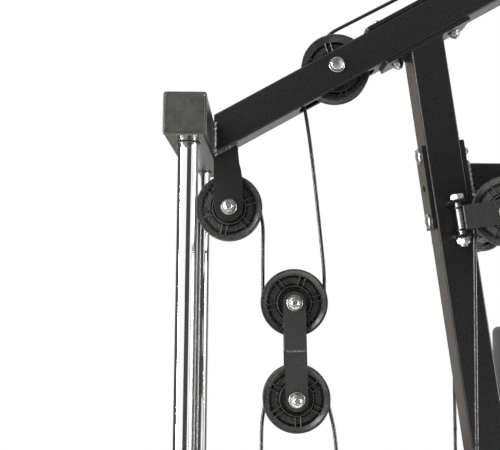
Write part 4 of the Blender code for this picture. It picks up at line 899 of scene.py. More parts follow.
def upright():
    flange_rise = -(BEAM_H / 2 + SEAT + PLATE / 2)
    piece("upright_flange", flange_plate(flange_rise))
    rail_top = BASE_TOP - SEAT
    foot_x = UPRIGHT_TOP.x + (UPRIGHT_TOP.z - rail_top) * UP_U.z / UP_U.x
    long = (UPRIGHT_TOP.z - rail_top) / UP_W.z + 0.05
    tube = square_tube(upright_point(long), upright_point(-0.06), Y, TUBE, UPRIGHT_D)
    tube = cut_beyond(tube, beam_point(FLANGE_MIDDLE, flange_rise - PLATE / 2), BEAM_W)
    tube = cut_beyond(tube, vec(foot_x, 0, BASE_TOP), -Z)
    bores = [placed(drum(TUBE_HOLE, 2 * TUBE, 32), through_upright(down)) for down in CARRIAGE_BOLTS]
    tube = cut(tube, cable_notch(foot_x, rail_top), *bores)
    piece("upright_tube", eased(tube, 0.0005), node="upright")
    ring = [
        vec(foot_x + sx * (UPRIGHT_D / 2 + 0.0008), sy * (TUBE / 2 - 0.001), rail_top + 0.0012)
        for sx, sy in CORNERS
    ]
    weld("upright_foot_weld", ring, 0.0018)
    for side, name in SIDES.items():
        edge = side * (TUBE / 2 - 0.0006) * Y
        line = [under_flange(out) + edge for out in (-UPRIGHT_D / 2, UPRIGHT_D / 2)]
        weld("upright_top_weld_" + name, line, 0.0012, POWDER)
    plate = slab([rounded(BACKING_WIDTH, BACKING_LENGTH, 0.0015, 3), circle(M10)], PLATE, 0.0005)
    plate = placed(plate, through_upright(BACKING_AT, -UPRIGHT_D / 2 - SEAT - PLATE / 2))
    piece("backing_plate", plate, node="upright_backing_plate")
    reach = UPRIGHT_D / 2 + SEAT + PLATE
    for number, down in enumerate(CARRIAGE_BOLTS):
        rod = drum(M8 - 0.0002, 2 * reach + 0.004, 32)
        parts = [carriage_head(-reach, -1), rod, *washer_and_nut(reach, 1, M8_SET)]
        piece(f"carriage_bolt_{number}", placed(joined(parts), through_upright(down)), ZINC)


def under_flange(out):
    """Where the upright's face that lies out from its axis meets the flange's underside."""
    start = upright_point(0, out)
    gap = -(BEAM_H / 2 + SEAT + PLATE) - (start - BEAM_ORIGIN).dot(BEAM_W)
    return start + UP_W * (gap / UP_W.dot(BEAM_W))


def butterfly_frame():
    face = UPRIGHT_D / 2 + SEAT + PLATE / 2
    holes = [circle(PLATE_HOLE, (0, BACKING_AT - down)) for down in CARRIAGE_BOLTS]
    plate = slab([rounded(TUBE, BACKING_LENGTH + 0.0016, 0.003)] + holes, PLATE)
    piece("forward_flange", placed(plate, through_upright(BACKING_AT, face)), node="butterfly_frame")
    pivot_x = ARM_PIVOT[-1].x
    start = vec(upright_point(BACKING_AT, face).x - 0.02, 0, FORWARD_Z)
    tube = slim_tube(start, vec(pivot_x - SLIM_TUBE / 2, 0, FORWARD_Z), Y)
    tube = cut_beyond(tube, upright_point(BACKING_AT, face + PLATE / 2), -UP_U)
    piece("forward_tube", eased(tube))
    ring = []
    for sy, sz in CORNERS:
        level = FORWARD_Z + sz * SLIM_TUBE / 2
        ring.append(vec(upright_at(level, face + PLATE / 2).x + 0.001, sy * SLIM_TUBE / 2, level))
    weld("forward_weld", ring, 0.0045, BRIGHT_WELD_PAINTED_GLINTS, pitch=0.0032, uneven=0.45)
    half = CROSSBAR / 2
    bar = slim_tube(vec(pivot_x, -half, FORWARD_Z), vec(pivot_x, half, FORWARD_Z), X)
    pins = [moved(drum(PIVOT_HOLE, 2 * TUBE, 32), pivot_x, pivot.y, FORWARD_Z) for pivot in ARM_PIVOT.values()]
    piece("crossbar", eased(cut(bar, *pins)))
    low, high = SLEEVE_BASE, FORWARD_Z + SLIM_TUBE / 2
    for side, name in SIDES.items():
        cap = slab([rounded(SLIM_TUBE, SLIM_TUBE, TUBE_CORNER)], 0.0018)
        at = vec(pivot_x, side * (half + 0.0008), FORWARD_Z)
        piece("crossbar_cap_" + name, placed(cap, in_plane(at)), CAP_PLASTIC)
        middle = Matrix.Translation((pivot_x, ARM_PIVOT[side].y, (low + high) / 2))
        bolt("arm_pivot_bolt_" + name, middle, (high - low) / 2, PIVOT_SET)
        x, y = pivot_x - SLIM_TUBE / 2 - 0.0005, side * SLIM_TUBE / 2
        line = [vec(x, y, FORWARD_Z + sz * (SLIM_TUBE / 2 - 0.003)) for sz in (-1, 1)]
        weld("crossbar_weld_" + name, line, 0.0018)


# Swivels

def swivel_turn():
    away = ARM_PIVOT[-1] - HINGE[-1]
    return asin(CAM_R / hypot(away.x, away.y)) + atan2(-away.y, away.x)


def swivel_matrix(side, turn):
    return frame(HINGE[side], UP_U, Y) @ Matrix.Rotation(turn, 4, "Z")


def fork_matrix(side):
    return swivel_matrix(side, side * swivel_turn())


def swivel_brackets():
    """Channels with their webs on the upright's sides, whose two lips hold the hinge bolts."""
    wall, half, bend = STRAP, BRACKET_H / 2, BRACKET_BEND
    section = arc((bend, half - bend), bend, 90, 180, 5) + arc((bend, bend - half), bend, 180, 270, 5)
    section += [(BRACKET_OUT, -half), (BRACKET_OUT, wall - half), (wall, wall - half)]
    section += [(wall, half - wall), (BRACKET_OUT, half - wall), (BRACKET_OUT, half)]
    centre = (BRACKET_FRONT - BRACKET_CORNER, BRACKET_OUT - BRACKET_CORNER)
    plan = [(-BRACKET_BACK, 0), (BRACKET_FRONT, 0)] + arc(centre, BRACKET_CORNER, 0, 90, 12)
    plan.append((-BRACKET_BACK, BRACKET_OUT))
    for side, name in SIDES.items():
        on_face = vec(HINGE[side].x, side * (TUBE / 2 + SEAT), HINGE[side].z)
        channel = placed(extruded([section], 4 * BRACKET_BACK), frame(on_face, side * Y, UP_W))
        profile = placed(extruded([plan], 2 * BRACKET_H), frame(on_face, UP_U, side * Y))
        bore = placed(drum(M10 + BORE, 2 * BRACKET_H, 32), swivel_matrix(side, 0))
        channel = eased(cut(common(channel, profile), bore), 0.0009)
        piece("swivel_channel_" + name, channel, node="swivel_bracket_" + name)
        pin = swivel_matrix(side, HINGE_BOLT_TURN)
        bolt("swivel_hinge_bolt_" + name, pin, half, HINGE_SET, node="hinge_bolt_" + name)


def strap_channel(pulley_z, web_z, width, bend=0.005):
    """U-shaped strap with round bends: legs apart along Y, from the web to the pulley along Z."""
    way = 1 if pulley_z > web_z else -1
    tip = pulley_z + way * width / 2

    def corner(centre_y, radius, start, end):
        return [(centre_y + y, web_z + way * (bend + z)) for y, z in arc((0, 0), radius, start, end, 6)]

    shape = [(-CHEEK_OUT, tip), (-CHEEK_IN, tip)]
    if bend > STRAP:
        shape += corner(-CHEEK_OUT + bend, bend - STRAP, 180, 270)
        shape += corner(CHEEK_OUT - bend, bend - STRAP, 270, 360)
    shape += [(CHEEK_IN, tip), (CHEEK_OUT, tip)]
    shape += corner(CHEEK_OUT - bend, bend, 360, 270) + corner(-CHEEK_OUT + bend, bend, 270, 180)
    channel = placed(extruded([shape], width), frame(vec(0, 0, 0), Y, Z))
    side = arc((0, pulley_z), width / 2, 0, 180 * way, 32)
    side += [(-width / 2, web_z - way * 0.01), (width / 2, web_z - way * 0.01)]
    profile = placed(extruded([side], 4 * CHEEK_OUT), in_plane(vec(0, 0, 0)))
    hole = placed(drum(M10 + BORE, 4 * CHEEK_OUT, 32), in_plane(vec(0, 0, pulley_z)))
    return eased(cut(common(channel, profile), hole), 0.0006)


def swivel_forks():
    tab_length, tab_width, tab_thick = FORK_TAB
    outlines = [rounded(tab_length, tab_width, tab_width * 0.49), circle(M10 + 0.0002)]
    for side, name in SIDES.items():
        matrix, body = fork_matrix(side), "fork_" + name
        strap = strap_channel(SWIVEL_REACH, FORK_WEB, FORK_H, TIGHT_BEND)
        strap = placed(strap, matrix @ Matrix.Rotation(pi / 2, 4, "Y"))
        piece("fork_strap_" + name, strap, body=body, node="swivel_fork_" + name)
        for level, label in ((1, "upper"), (-1, "lower")):
            middle = level * (FORK_H - tab_thick) / 2
            tab = moved(slab(outlines, tab_thick, 0.0005), 0, 0, middle)
            piece(f"fork_tab_{label}_{name}", placed(tab, matrix), body=body)
            edge = vec(FORK_WEB - 0.0004, 0, middle - level * tab_thick / 2)
            line = [matrix @ (edge + way * tab_width * 0.36 * Y) for way in (-1, 1)]
            weld(f"fork_tab_weld_{label}_{name}", line, 0.0012, body=body)
        bolt("fork_axle_bolt_" + name, matrix @ in_plane(vec(SWIVEL_REACH, 0, 0)), CHEEK_OUT, body=body)


# Pulleys

def ribbed_pulley(rim_extra=0.0):
    """Moulded pulley: V groove, sloped rim, recessed web, ring round the hub, and pairs of ribs."""
    face = [
        (0.0452, 0.0112), (0.0446, 0.0119), (0.0436, 0.0120), (0.0424, 0.0118), (0.0412, 0.0112),
        (0.0376, 0.0090), (0.0366, 0.0084), (0.0362, 0.0078), (0.0360, 0.0034), (0.0357, 0.0031),
        (0.0338, 0.0031), (0.0335, 0.0034), (0.0333, 0.0074), (0.0328, 0.0078), (0.0256, 0.0078),
        (0.0252, 0.0074), (0.0250, 0.0046), (0.0244, 0.0042), (0.0236, 0.0044), (0.0234, 0.0120),
        (0.0229, 0.0126), (0.0218, 0.0126), (0.0214, 0.0120), (0.0212, 0.0052), (0.0206, 0.0048),
        (0.0146, 0.0048), (0.0142, 0.0052), (0.0140, 0.0140), (0.0135, 0.0145), (0.0056, 0.0145),
        (0.0052, 0.0141),
    ]
    groove = [
        (0.0453, 0.0100), (0.0446, 0.0088), (GROOVE_R + 0.0015, 0.0040), (GROOVE_R + 0.0004, 0.0024),
        (GROOVE_R, 0.0010),
    ]
    half = [(r + rim_extra if r > RIM_FROM else r, z) for r, z in face[::-1] + groove]
    parts = [turned(half + [(r, -z) for r, z in reversed(half)], 96)]
    for way in (-1, 1):
        for pair in range(RIB_PAIRS):
            for beside in (-1, 1):
                out, aside, level = RIB_AT
                rib = moved(eased(block(RIB), 0.0006, 3), out, beside * aside, way * level)
                parts.append(placed(rib, Matrix.Rotation(pair * tau / RIB_PAIRS, 4, "Z")))
    return joined(parts)


def pulleys():
    shared = ribbed_pulley()
    wide = ribbed_pulley(BEAM_RIM_EXTRA)
    in_line = {
        "stack_pulley": (STACK_PULLEY, "stack_sheave", 17),
        "beam_pulley": (BEAM_PULLEY, "beam_sheave", 48),
        "lat_pulley": (LAT_PULLEY, "lat_sheave", 5),
        "block_pulley_upper": (BLOCK_UPPER, "upper_sheave", 11),
        "block_pulley_lower": (BLOCK_LOWER, "lower_sheave", 34),
        "base_pulley_rear": (BASE_REAR, "rear_sheave", 22),
        "base_pulley_return": (BASE_RETURN, "return_sheave", 9),
        "base_pulley_front": (BASE_FRONT, "front_sheave", 40),
    }
    places = [
        (node, in_plane(centre) @ Matrix.Rotation(radians(turn), 4, "Z"), body)
        for node, (centre, body, turn) in in_line.items()
    ]
    places.append(("butterfly_pulley", frame(HANGING_PULLEY, Y, Z), "hanging_sheave"))
    for side, name in SIDES.items():
        matrix = fork_matrix(side) @ in_plane(vec(SWIVEL_REACH, 0, 0))
        places.append(("swivel_pulley_" + name, matrix, "fork_sheave_" + name))
    for node, matrix, body in places:
        wheel = wide if node == "beam_pulley" else shared.copy()
        piece("ribbed_" + node, placed(wheel, matrix), NYLON, body, node)


def floating_block():
    """Two U-shaped straps, welded web to web on the line between their pulleys."""
    body = "floating_block"
    line = BLOCK_UPPER - BLOCK_LOWER
    half = (line.length - SEAT) / 2
    lean = frame(vec(0, 0, 0), Y.cross(line), Y)
    for name, centre, web in (("upper", BLOCK_UPPER, -half), ("lower", BLOCK_LOWER, half)):
        strap = strap_channel(0, web, STRAP_W, TIGHT_BEND)
        strap = placed(strap, Matrix.Translation(centre) @ lean)
        piece("block_u_strap_" + name, strap, STRAP_COAT_PAINTED_LIGHT, body, "block_strap_" + name)
        pulley_bolt("block_axle_bolt_" + name, centre, body, "block_axle_" + name)
    across = Matrix.Translation((BLOCK_UPPER + BLOCK_LOWER) / 2) @ lean
    for side, name in SIDES.items():
        ends = [across @ vec(way * (STRAP_W / 2 - 0.002), side * (CHEEK_OUT - 0.0012), 0) for way in (-1, 1)]
        weld("block_seam_weld_" + name, ends, 0.0016, DIM_WELD_PAINTED_GLINTS, body, 0.0034, 0.45)


def hanging_block():
    body = "hanging_block"
    strap = strap_channel(0, -(PULLEY_R + 0.020), STRAP_W)
    strap = placed(strap, Matrix.Translation(HANGING_PULLEY) @ Matrix.Rotation(pi / 2, 4, "Z"))
    piece("hanging_strap", strap, body=body, node="butterfly_block")
    bolt("hanging_axle_bolt", frame(HANGING_PULLEY, Y, Z), CHEEK_OUT, body=body)


# Base

def stabiliser(name, node):
    low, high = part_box(node)
    x, height = (low.x + high.x) / 2, high.z - low.z
    tube_z = high.z - 0.003 - TUBE / 2
    foot_l, lap = 0.030, 0.006
    half = (high.y - low.y) / 2 - foot_l + lap
    tube = square_tube(vec(x, -half, tube_z), vec(x, half, tube_z), X)
    piece(name + "_tube", eased(tube), node=node)
    for side, label in SIDES.items():
        foot = slab([rounded(high.x - low.x, height, 0.008)], foot_l, 0.0025, 3)
        at = vec(x, side * (half + foot_l / 2 - lap), height / 2)
        piece(f"{name}_foot_{label}", placed(foot, in_plane(at)), RUBBER)


def base():
    stabiliser("rear_base", "rear_stabiliser")
    stabiliser("front_base", "front_stabiliser")
    base_rail()
    for label, centre in (("rear", BASE_REAR), ("return", BASE_RETURN), ("front", BASE_FRONT)):
        base_cheeks(label, centre)
    low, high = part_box("stack_bumper")
    width = high.x - low.x
    holes = [circle(BUSH_BORE, (0, side * ROD_Y)) for side in SIDES]
    holes.append(circle(ROD_HOLE, (STEM_X - RODS_X, 0)))
    pad = slab([rounded(width, high.y - low.y, width * 0.45, 12)] + holes, high.z - low.z, 0.003, 4)
    piece("stack_buffer", moved(pad, *(low + high) / 2), RUBBER, node="stack_bumper")


def base_rail():
    low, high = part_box("base_rail")
    half, edge = TUBE / 2, TUBE / 2 - 0.004
    z = BASE_TOP - SEAT - half
    rail = square_tube(vec(low.x, 0, z), vec(high.x, 0, z), Y)
    piece("rail_tube", eased(rail), node="base_rail")
    for label, x in (("rear", low.x - 0.0002), ("front", high.x + 0.0002)):
        weld("rail_weld_" + label, [vec(x, sy * (half - 0.002), z + half) for sy in (-1, 1)], 0.002)
        for side, name in SIDES.items():
            line = [vec(x, side * half, z - edge), vec(x, side * half, z + edge)]
            weld(f"rail_side_weld_{label}_{name}", line, 0.002)


def base_cheeks(label, centre):
    """Two cheeks on the rail that hold a base pulley's axle."""
    foot = BASE_TOP - SEAT - centre.z
    outline = arc((0, 0), STRAP_W / 2, 0, 180, 24) + [(-STRAP_W / 2, foot), (STRAP_W / 2, foot)]
    for side, name in SIDES.items():
        cheek = slab([outline, circle(M10)], STRAP)
        at = centre + side * (CHEEK_IN + STRAP / 2) * Y
        piece(f"base_cheek_{label}_{name}", placed(cheek, in_plane(at)))
        line = [centre + vec(sx * STRAP_W / 2, side * CHEEK_OUT, foot + 0.0005) for sx in (-1, 1)]
        weld(f"base_cheek_weld_{label}_{name}", line, 0.0018)
    pulley_bolt("base_axle_bolt_" + label, centre)


# Weight stack

def weight_plate(size, thick, channel=True):
    holes = [circle(ROD_HOLE, (0, side * ROD_Y)) for side in SIDES]
    holes.append(circle(STEM_R + 0.0020, (STEM_X - RODS_X, 0)))
    plate = extruded([rounded(size.x, size.y, 0.009)] + holes, thick)
    if channel:
        end = STEM_X - RODS_X + STEM_R + 0.012
        box = block((end + size.x, CHANNEL_W, 2 * CHANNEL_H))
        plate = cut(plate, moved(box, (end - size.x) / 2, 0, -thick / 2))
    return eased(plate, 0.0016, 3)


def stack():
    for node, body in (("resting_plates", "frame"), ("lifted_plates", "stack_carriage")):
        low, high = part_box(node)
        shared = weight_plate(high - low, PLATE_T)
        for i in range(round((high.z - low.z) / PLATE_PITCH)):
            base_z = low.z + i * PLATE_PITCH
            plate = moved(shared.copy(), RODS_X, 0, base_z + PLATE_T / 2)
            piece(f"weight_{node}_{i}", plate, IRON, body, None if i else node)
            for side, name in SIDES.items():
                bush = sleeve(0.0165, BUSH_BORE, -0.0006, 0.0006)
                bush = moved(bush, RODS_X, side * ROD_Y, base_z + PLATE_T + 0.0002)
                piece(f"plate_bush_{node}_{i}_{name}", bush, NYLON, body)
    low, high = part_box("top_plate")
    top = low.z + HEAD_PLATE_T
    head = weight_plate(high - low, HEAD_PLATE_T, channel=False)
    piece("head_plate", moved(head, RODS_X, 0, top - HEAD_PLATE_T / 2), IRON, body, "top_plate")
    selector_stem(top, body)
    selector_pin()


def selector_stem(top, body):
    """Bored stem with its boss and nut on the head plate's top, and the cable's ferrule."""
    bore = STEM_R + BORE
    boss = turned([(0.0185, 0.020), (0.020, 0.018), (0.020, 0.0002), (bore, 0.0002), (bore, 0.020)], 56)
    piece("head_boss", moved(boss, STEM_X, 0, top), IRON, body)
    low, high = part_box("selector_stem")
    nut_base, nut_flat = top + 0.0213, 0.017
    stem = stepped([(low.z, STEM_R - 0.002), (low.z + 0.003, STEM_R), (nut_base, STEM_R)])
    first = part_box("resting_plates")[0].z
    holes = []
    for i in range(round((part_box("lifted_plates")[1].z - first) / PLATE_PITCH)):
        z = first + i * PLATE_PITCH + CHANNEL_H - SEAT - PIN_R
        holes.append(placed(drum(PIN_R + 0.0005, 0.1, 32), frame(vec(0, 0, z), Y, Z)))
    stem = eased(cut(stem, joined(holes)))
    piece("stem", moved(stem, STEM_X, 0, 0), CHROME, body, "selector_stem")
    sections = [(0, 0.0165), (0.0006, 0.0196), (0.0105, 0.0196), (0.012, 0.0172)]
    nut = stepped([(nut_base + rise, radius, nut_flat) for rise, radius in sections])
    piece("stem_nut", moved(nut, STEM_X, 0, 0), ZINC, body)
    sections = [(-0.008, 0.0070), (-0.004, 0.0062), (-0.0002, 0.0042)]
    ferrule = [(nut_base + 0.012, 0.0070)] + [(high.z + rise, radius) for rise, radius in sections]
    piece("cable_ferrule", moved(stepped(ferrule), STEM_X, 0, 0), ZINC, body)


def selector_pin():
    low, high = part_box("selector_pin")
    centre = (low + high) / 2
    knob, knob_l = 0.014, 0.040
    rear = low.x + knob_l
    shank = stepped([(rear - 0.006, PIN_R), (high.x - 0.004, PIN_R), (high.x, PIN_R * 0.5)], 40)
    along = frame(vec(0, centre.y, centre.z), Y, Z)
    piece("pin_shank", placed(shank, along), CHROME, "pin", "selector_pin")
    sections = [
        (0, 0.62), (0.001, 0.80), (0.004, 0.98), (0.007, 1.0), (0.020, 0.82), (0.030, 0.78), (0.036, 0.95),
        (knob_l - 0.001, 0.95), (knob_l, 0.86),
    ]
    knob = stepped([(low.x + out, knob * share) for out, share in sections], 56)
    piece("pin_knob", placed(knob, along), RUBBER, "pin")


# Butterfly arms

def butterfly_arms():
    for side, name in SIDES.items():
        body = "arm_" + name
        foot = vec(ARM_PIVOT[side].x, ARM_PIVOT[side].y, 0)
        route = [(0.0, ARM_Z), (ARM_REACH - ARM_BEND, ARM_Z)]
        route += arc((ARM_REACH - ARM_BEND, ARM_Z - ARM_BEND), ARM_BEND, 90, 0, 16)[1:]
        route.append((ARM_REACH, ARM_Z - ARM_DROP))
        tube = pipe([foot + vec(0, side * y, z) for y, z in route], ARM_TUBE_R, 10)
        bore = moved(drum(SLEEVE_R - 0.0005, 0.2), foot.x, foot.y, ARM_Z)
        piece("arm_tube_" + name, cut(tube, bore), body=body, node="butterfly_arm_" + name)
        piece("arm_cam_" + name, moved(arm_cam(ARM_PIVOT[side].z), *foot), body=body)
        edge = ARM_TUBE_R - 0.0002
        ring = [
            foot + vec(cos(a) * edge, side * SLEEVE_R, ARM_Z + sin(a) * edge)
            for a in (tau * i / 24 for i in range(25))
        ]
        weld("arm_weld_" + name, ring, 0.0018, body=body)
        arm_grip(name, body)


def arm_cam(level):
    """The arm's sleeve round its pivot, with the cable's grooved cam at a level."""
    top, half, bore = FORWARD_Z - SLIM_TUBE / 2 - SEAT, CAM_T / 2, PIVOT_SET[0] + BORE
    floor = CAM_R - CABLE_R - SEAT
    rim = [
        (SLEEVE_R, half), (CAM_R + 0.0034, half), (CAM_R + 0.0040, half - 0.0008),
        (CAM_R + 0.0036, half - 0.0020), (floor + 0.0008, CABLE_R), (floor, 0.0008),
    ]
    rim += [(r, -z) for r, z in reversed(rim)]
    profile = [(SLEEVE_R, top), *((r, level + z) for r, z in rim)]
    profile += [(SLEEVE_R, SLEEVE_BASE), (bore, SLEEVE_BASE), (bore, top)]
    return turned(profile, 80)


def arm_grip(name, body):
    """Foam grip over the arm's lower tube, and a plug in the tube's end."""
    low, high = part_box("arm_pad_" + name)
    centre = (low + high) / 2
    grip = foam_roll((high.x - low.x) / 2, (high.z - low.z) / 2, 0.010, ARM_TUBE_R + SEAT)
    piece("foam_grip_" + name, moved(grip, *centre), FOAM, body, "arm_pad_" + name)
    rim, deep, centre_r = 0.0006, -0.0022, 0.0001
    outline = [(ARM_TUBE_R - 0.0005, rim), (ARM_TUBE_R, 0.0), (ARM_TUBE_R - 0.0002, -0.0016)]
    outline += [(ARM_TUBE_R - 0.0020, deep), (centre_r, deep), (centre_r, rim)]
    end = moved(turned(outline, 48), centre.x, centre.y, ARM_Z - ARM_DROP)
    piece("arm_plug_" + name, end, CAP_PLASTIC, body)


def foam_roll(radius, half, ease, bore):
    """Foam sleeve about Z with soft ends."""
    soft = 0.012  # of the ends, along the axis
    profile = [
        (radius - ease + ease * sin(angle), half - soft + soft * cos(angle))
        for angle in (pi / 2 * i / 8 for i in range(9))
    ]
    outline = profile + [(r, -z) for r, z in reversed(profile)]
    return turned(outline + [(bore, -half + 0.001), (bore, half - 0.001)])


# Seat, back pad and leg lever

def cushion(size):
    """Closed crowned pad: a cube's grid pushed out to a superellipsoid, flat where it is screwed down."""
    work = bmesh.new()
    bmesh.ops.create_cube(work, size=2.0)
    bmesh.ops.subdivide_edges(work, edges=work.edges, cuts=22, use_grid_fill=True)
    for vertex in work.verts:
        u = Vector([c * (1.5 - 0.5 * c * c) for c in vertex.co])
        norm = sum(abs(c) ** PAD_POWER for c in u) ** (1 / PAD_POWER)
        x, y, z = (c / norm for c in u)
        pinch = 1 - PAD_PINCH * (1 - abs(z)) * (abs(x) ** 8 + abs(y) ** 8)
        crown = 1 + PAD_CROWN * (1 - x * x) * (1 - y * y) if z > 0 else 1
        vertex.co = vec(x * size.x / 2 * pinch, y * size.y / 2 * pinch, z * size.z / 2 * crown)
        vertex.co.z = max(vertex.co.z, -size.z * PAD_FLAT)
    low = min(v.co.z for v in work.verts)
    high = max(v.co.z for v in work.verts)
    for vertex in work.verts:
        vertex.co.z = (vertex.co.z - low) * size.z / (high - low)
    return as_mesh(work, "cushion")


def swollen(mesh, held, cap, voxel=0.006, frames=20):
    """A cover blown up as cloth. Points that held picks stay, and none moves further than cap."""
    obj = linked("temporary", mesh)
    remesh = obj.modifiers.new("remesh", "REMESH")
    remesh.mode = "VOXEL"
    remesh.voxel_size = voxel
    obj = linked("temporary", evaluated(obj))
    rest = [v.co.copy() for v in obj.data.vertices]
    group = obj.vertex_groups.new(name="held")
    group.add([i for i, co in enumerate(rest) if held(co)], 1.0, "REPLACE")
    cloth = obj.modifiers.new("cloth", "CLOTH")
    cloth.settings.use_pressure = True
    cloth.settings.uniform_pressure_force = 4
    cloth.settings.effector_weights.gravity = 0
    cloth.settings.vertex_group_mass = "held"
    cloth.settings.quality = 5
    cloth.collision_settings.use_collision = False
    cloth.point_cache.frame_end = frames
    for number in range(1, frames + 1):
        bpy.context.scene.frame_set(number)
    graph = bpy.context.evaluated_depsgraph_get()
    settled = bpy.data.meshes.new_from_object(obj.evaluated_get(graph))
    bpy.data.objects.remove(obj, do_unlink=True)
    bpy.context.scene.frame_set(1)
    for vertex, start in zip(settled.vertices, rest):
        shift = vertex.co - start
        if shift.length > cap:
            vertex.co = start + shift * (cap / shift.length)
    obj = linked("temporary", settled)
    obj.modifiers.new("smooth", "SMOOTH").iterations = 2
    obj.modifiers.new("subdivision", "SUBSURF").levels = 1
    return evaluated(obj)


def piping(size, level, inset):
    """Welt round a cushion at a level, as a closed cord."""
    points = []
    for angle in (tau * i / 160 for i in range(160)):
        c, s = cos(angle), sin(angle)
        norm = (abs(c) ** PAD_POWER + abs(s) ** PAD_POWER) ** (1 / PAD_POWER)
        points.append(vec(c / norm * (size.x / 2 - inset), s / norm * (size.y / 2 - inset), level))
    return pipe(points, 0.0022, 3, cyclic=True)


def pad(name, node, size, matrix):
    """Board, and a foam cushion whose cover is sewn to a welt round its widest line."""
    lift = BOARD_T - 0.002
    seam = (size.z - lift) * SEAM_SHARE
    slack = SWELL
    cover = cushion(size - vec(slack, slack, lift + slack))

    def held(co):
        inside = abs(co.x) < size.x * 0.45 and abs(co.y) < size.y * 0.45
        return co.z < 0.004 or (abs(co.z - seam) < 0.0035 and not inside)

    cover = swollen(cover, held, SWELL)
    obj = piece(name, placed(moved(cover, 0, 0, lift), matrix), VINYL, node=node, sharp=60)
    board = extruded([rounded(size.x * BOARD_SHARE, size.y * BOARD_SHARE, 0.03, 8)], BOARD_T)
    board = eased(moved(board, 0, 0, BOARD_T / 2 + 0.0002), 0.001)
    piece(name + "_board", placed(board, matrix), RUBBER)
    piece(name + "_welt", placed(piping(size, lift + seam, slack / 2), matrix), VINYL, sharp=60)


def seat():
    low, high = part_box("seat_pad")
    pad("seat_cushion", "seat_pad", high - low, Matrix.Translation(((low.x + high.x) / 2, 0, low.z)))
    back = upright_at(BACK_PAD_Z, UPRIGHT_D / 2 + SEAT)
    pad("back_cushion", "back_pad", BACK_PAD, frame(back, Y, UP_W))
    seat_frame()


def seat_frame():
    """Rail from the upright, its post on the base, and the ears that hold the lever's axle."""
    rail_z, half = LEVER_PIVOT.z, TUBE / 2
    rail_base = rail_z - half
    rail = square_tube(vec(SEAT_RAIL[0], 0, rail_z), vec(SEAT_RAIL[1], 0, rail_z), Y)
    face = upright_at(rail_z, UPRIGHT_D / 2 + SEAT)
    piece("seat_rail", eased(cut_beyond(rail, face, -UP_U)), node="seat_frame")
    post = square_tube(vec(POST_X, 0, BASE_TOP), vec(POST_X, 0, rail_base), Y)
    piece("seat_post", eased(cut(post, cable_notch(POST_X, BASE_TOP))))
    for label, level in (("foot", BASE_TOP + 0.001), ("head", rail_base - 0.001)):
        ring = [vec(POST_X + sx * half, sy * (half - 0.001), level) for sx, sy in CORNERS]
        weld("seat_post_weld_" + label, ring, 0.0018)
    weld("seat_rail_weld", [face + vec(0.001, sy * half, half) for sy in (-1, 1)], 0.002)
    cap_at = vec(SEAT_RAIL[1] - 0.0012, 0, rail_z)
    piece("seat_rail_cap", placed(plug(TUBE, TUBE_WALL), frame(cap_at, Y, Z)), CAP_PLASTIC)
    reach = half - 0.002
    for side, name in SIDES.items():
        y = side * (half + STRAP / 2)
        ear = placed(ear_plate(reach, AXLE_BORE), in_plane(vec(LEVER_PIVOT.x, y, rail_z)))
        piece("lever_ear_" + name, ear)
        line = [vec(LEVER_PIVOT.x - EAR_BACK, y, rail_z + s * reach) for s in (-1, 1)]
        weld("lever_ear_weld_" + name, line, 0.002)


def roller_set(prefix, body, node):
    for side, name in SIDES.items():
        low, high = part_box(f"{node}_{name}")
        centre = (low + high) / 2
        half = (high.y - low.y) / 2
        roll = placed(foam_roll((high.z - low.z) / 2, half, 0.011, ROLLER_ROD_R + SEAT), in_plane(centre))
        piece(f"{prefix}_{name}", roll, FOAM, body, f"{node}_{name}")
        outline = [(0.0150, 0.0020), (0.0160, 0.0008), (0.0160, -0.0008)]
        outline += [(AXLE_BORE, -0.0008), (AXLE_BORE, 0.0020)]
        facing = frame(centre + side * (half + 0.0004) * Y, X, -side * Z)
        piece(f"{prefix}_end_{name}", placed(turned(outline, 48), facing), CAP_PLASTIC, body)


def leg_lever():
    low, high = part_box("leg_lever")
    x = LEVER_PIVOT.x
    tube = slim_tube(vec(x, 0, low.z), vec(x, 0, high.z), Y)
    bore = placed(drum(AXLE_BORE, 0.2), in_plane(LEVER_PIVOT))
    piece("lever_tube", eased(cut(tube, bore)), body="lever", node="leg_lever")
    for label, z in (("top", high.z - 0.0012), ("bottom", low.z + 0.0012)):
        piece("lever_cap_" + label, moved(plug(SLIM_TUBE, SLIM_WALL), x, 0, z), CAP_PLASTIC, "lever")
    rods = (("lower", LOWER_ROD_Z, "lever", None), ("upper", LEVER_PIVOT.z, "frame", "lever_axle"))
    for label, z, body, node in rods:
        rod = chamfered_rod(ROLLER_ROD_R, size_of("lever_axle").y, 48)
        piece("roller_rod_" + label, placed(rod, in_plane(vec(x, 0, z))), ZINC, body, node)
    for side, name in SIDES.items():
        collar = sleeve(0.0150, ROLLER_ROD_R + 0.0001, -0.004, 0.004, (0.0005, 0.0006), 48)
        at = vec(x, side * (SLIM_TUBE / 2 + 0.0046), LOWER_ROD_Z)
        piece("rod_collar_" + name, placed(collar, in_plane(at)), ZINC, "lever")
    eye = (-0.012, 0)
    outline = arc(eye, 0.009, 90, 270, 16) + [(0.0, -0.009), (0.0, 0.009)]
    tab = slab([outline, circle(0.004, eye, 24)], STRAP, 0.0005)
    tab = placed(tab, in_plane(vec(x - SLIM_TUBE / 2, 0, LOWER_ROD_Z + HOOK_RISE)))
    piece("lever_tab", tab, body="lever")
    roller_set("upper_foam", "frame", "upper_roller")
    roller_set("lower_foam", "lever", "lower_roller")


# Lat bar

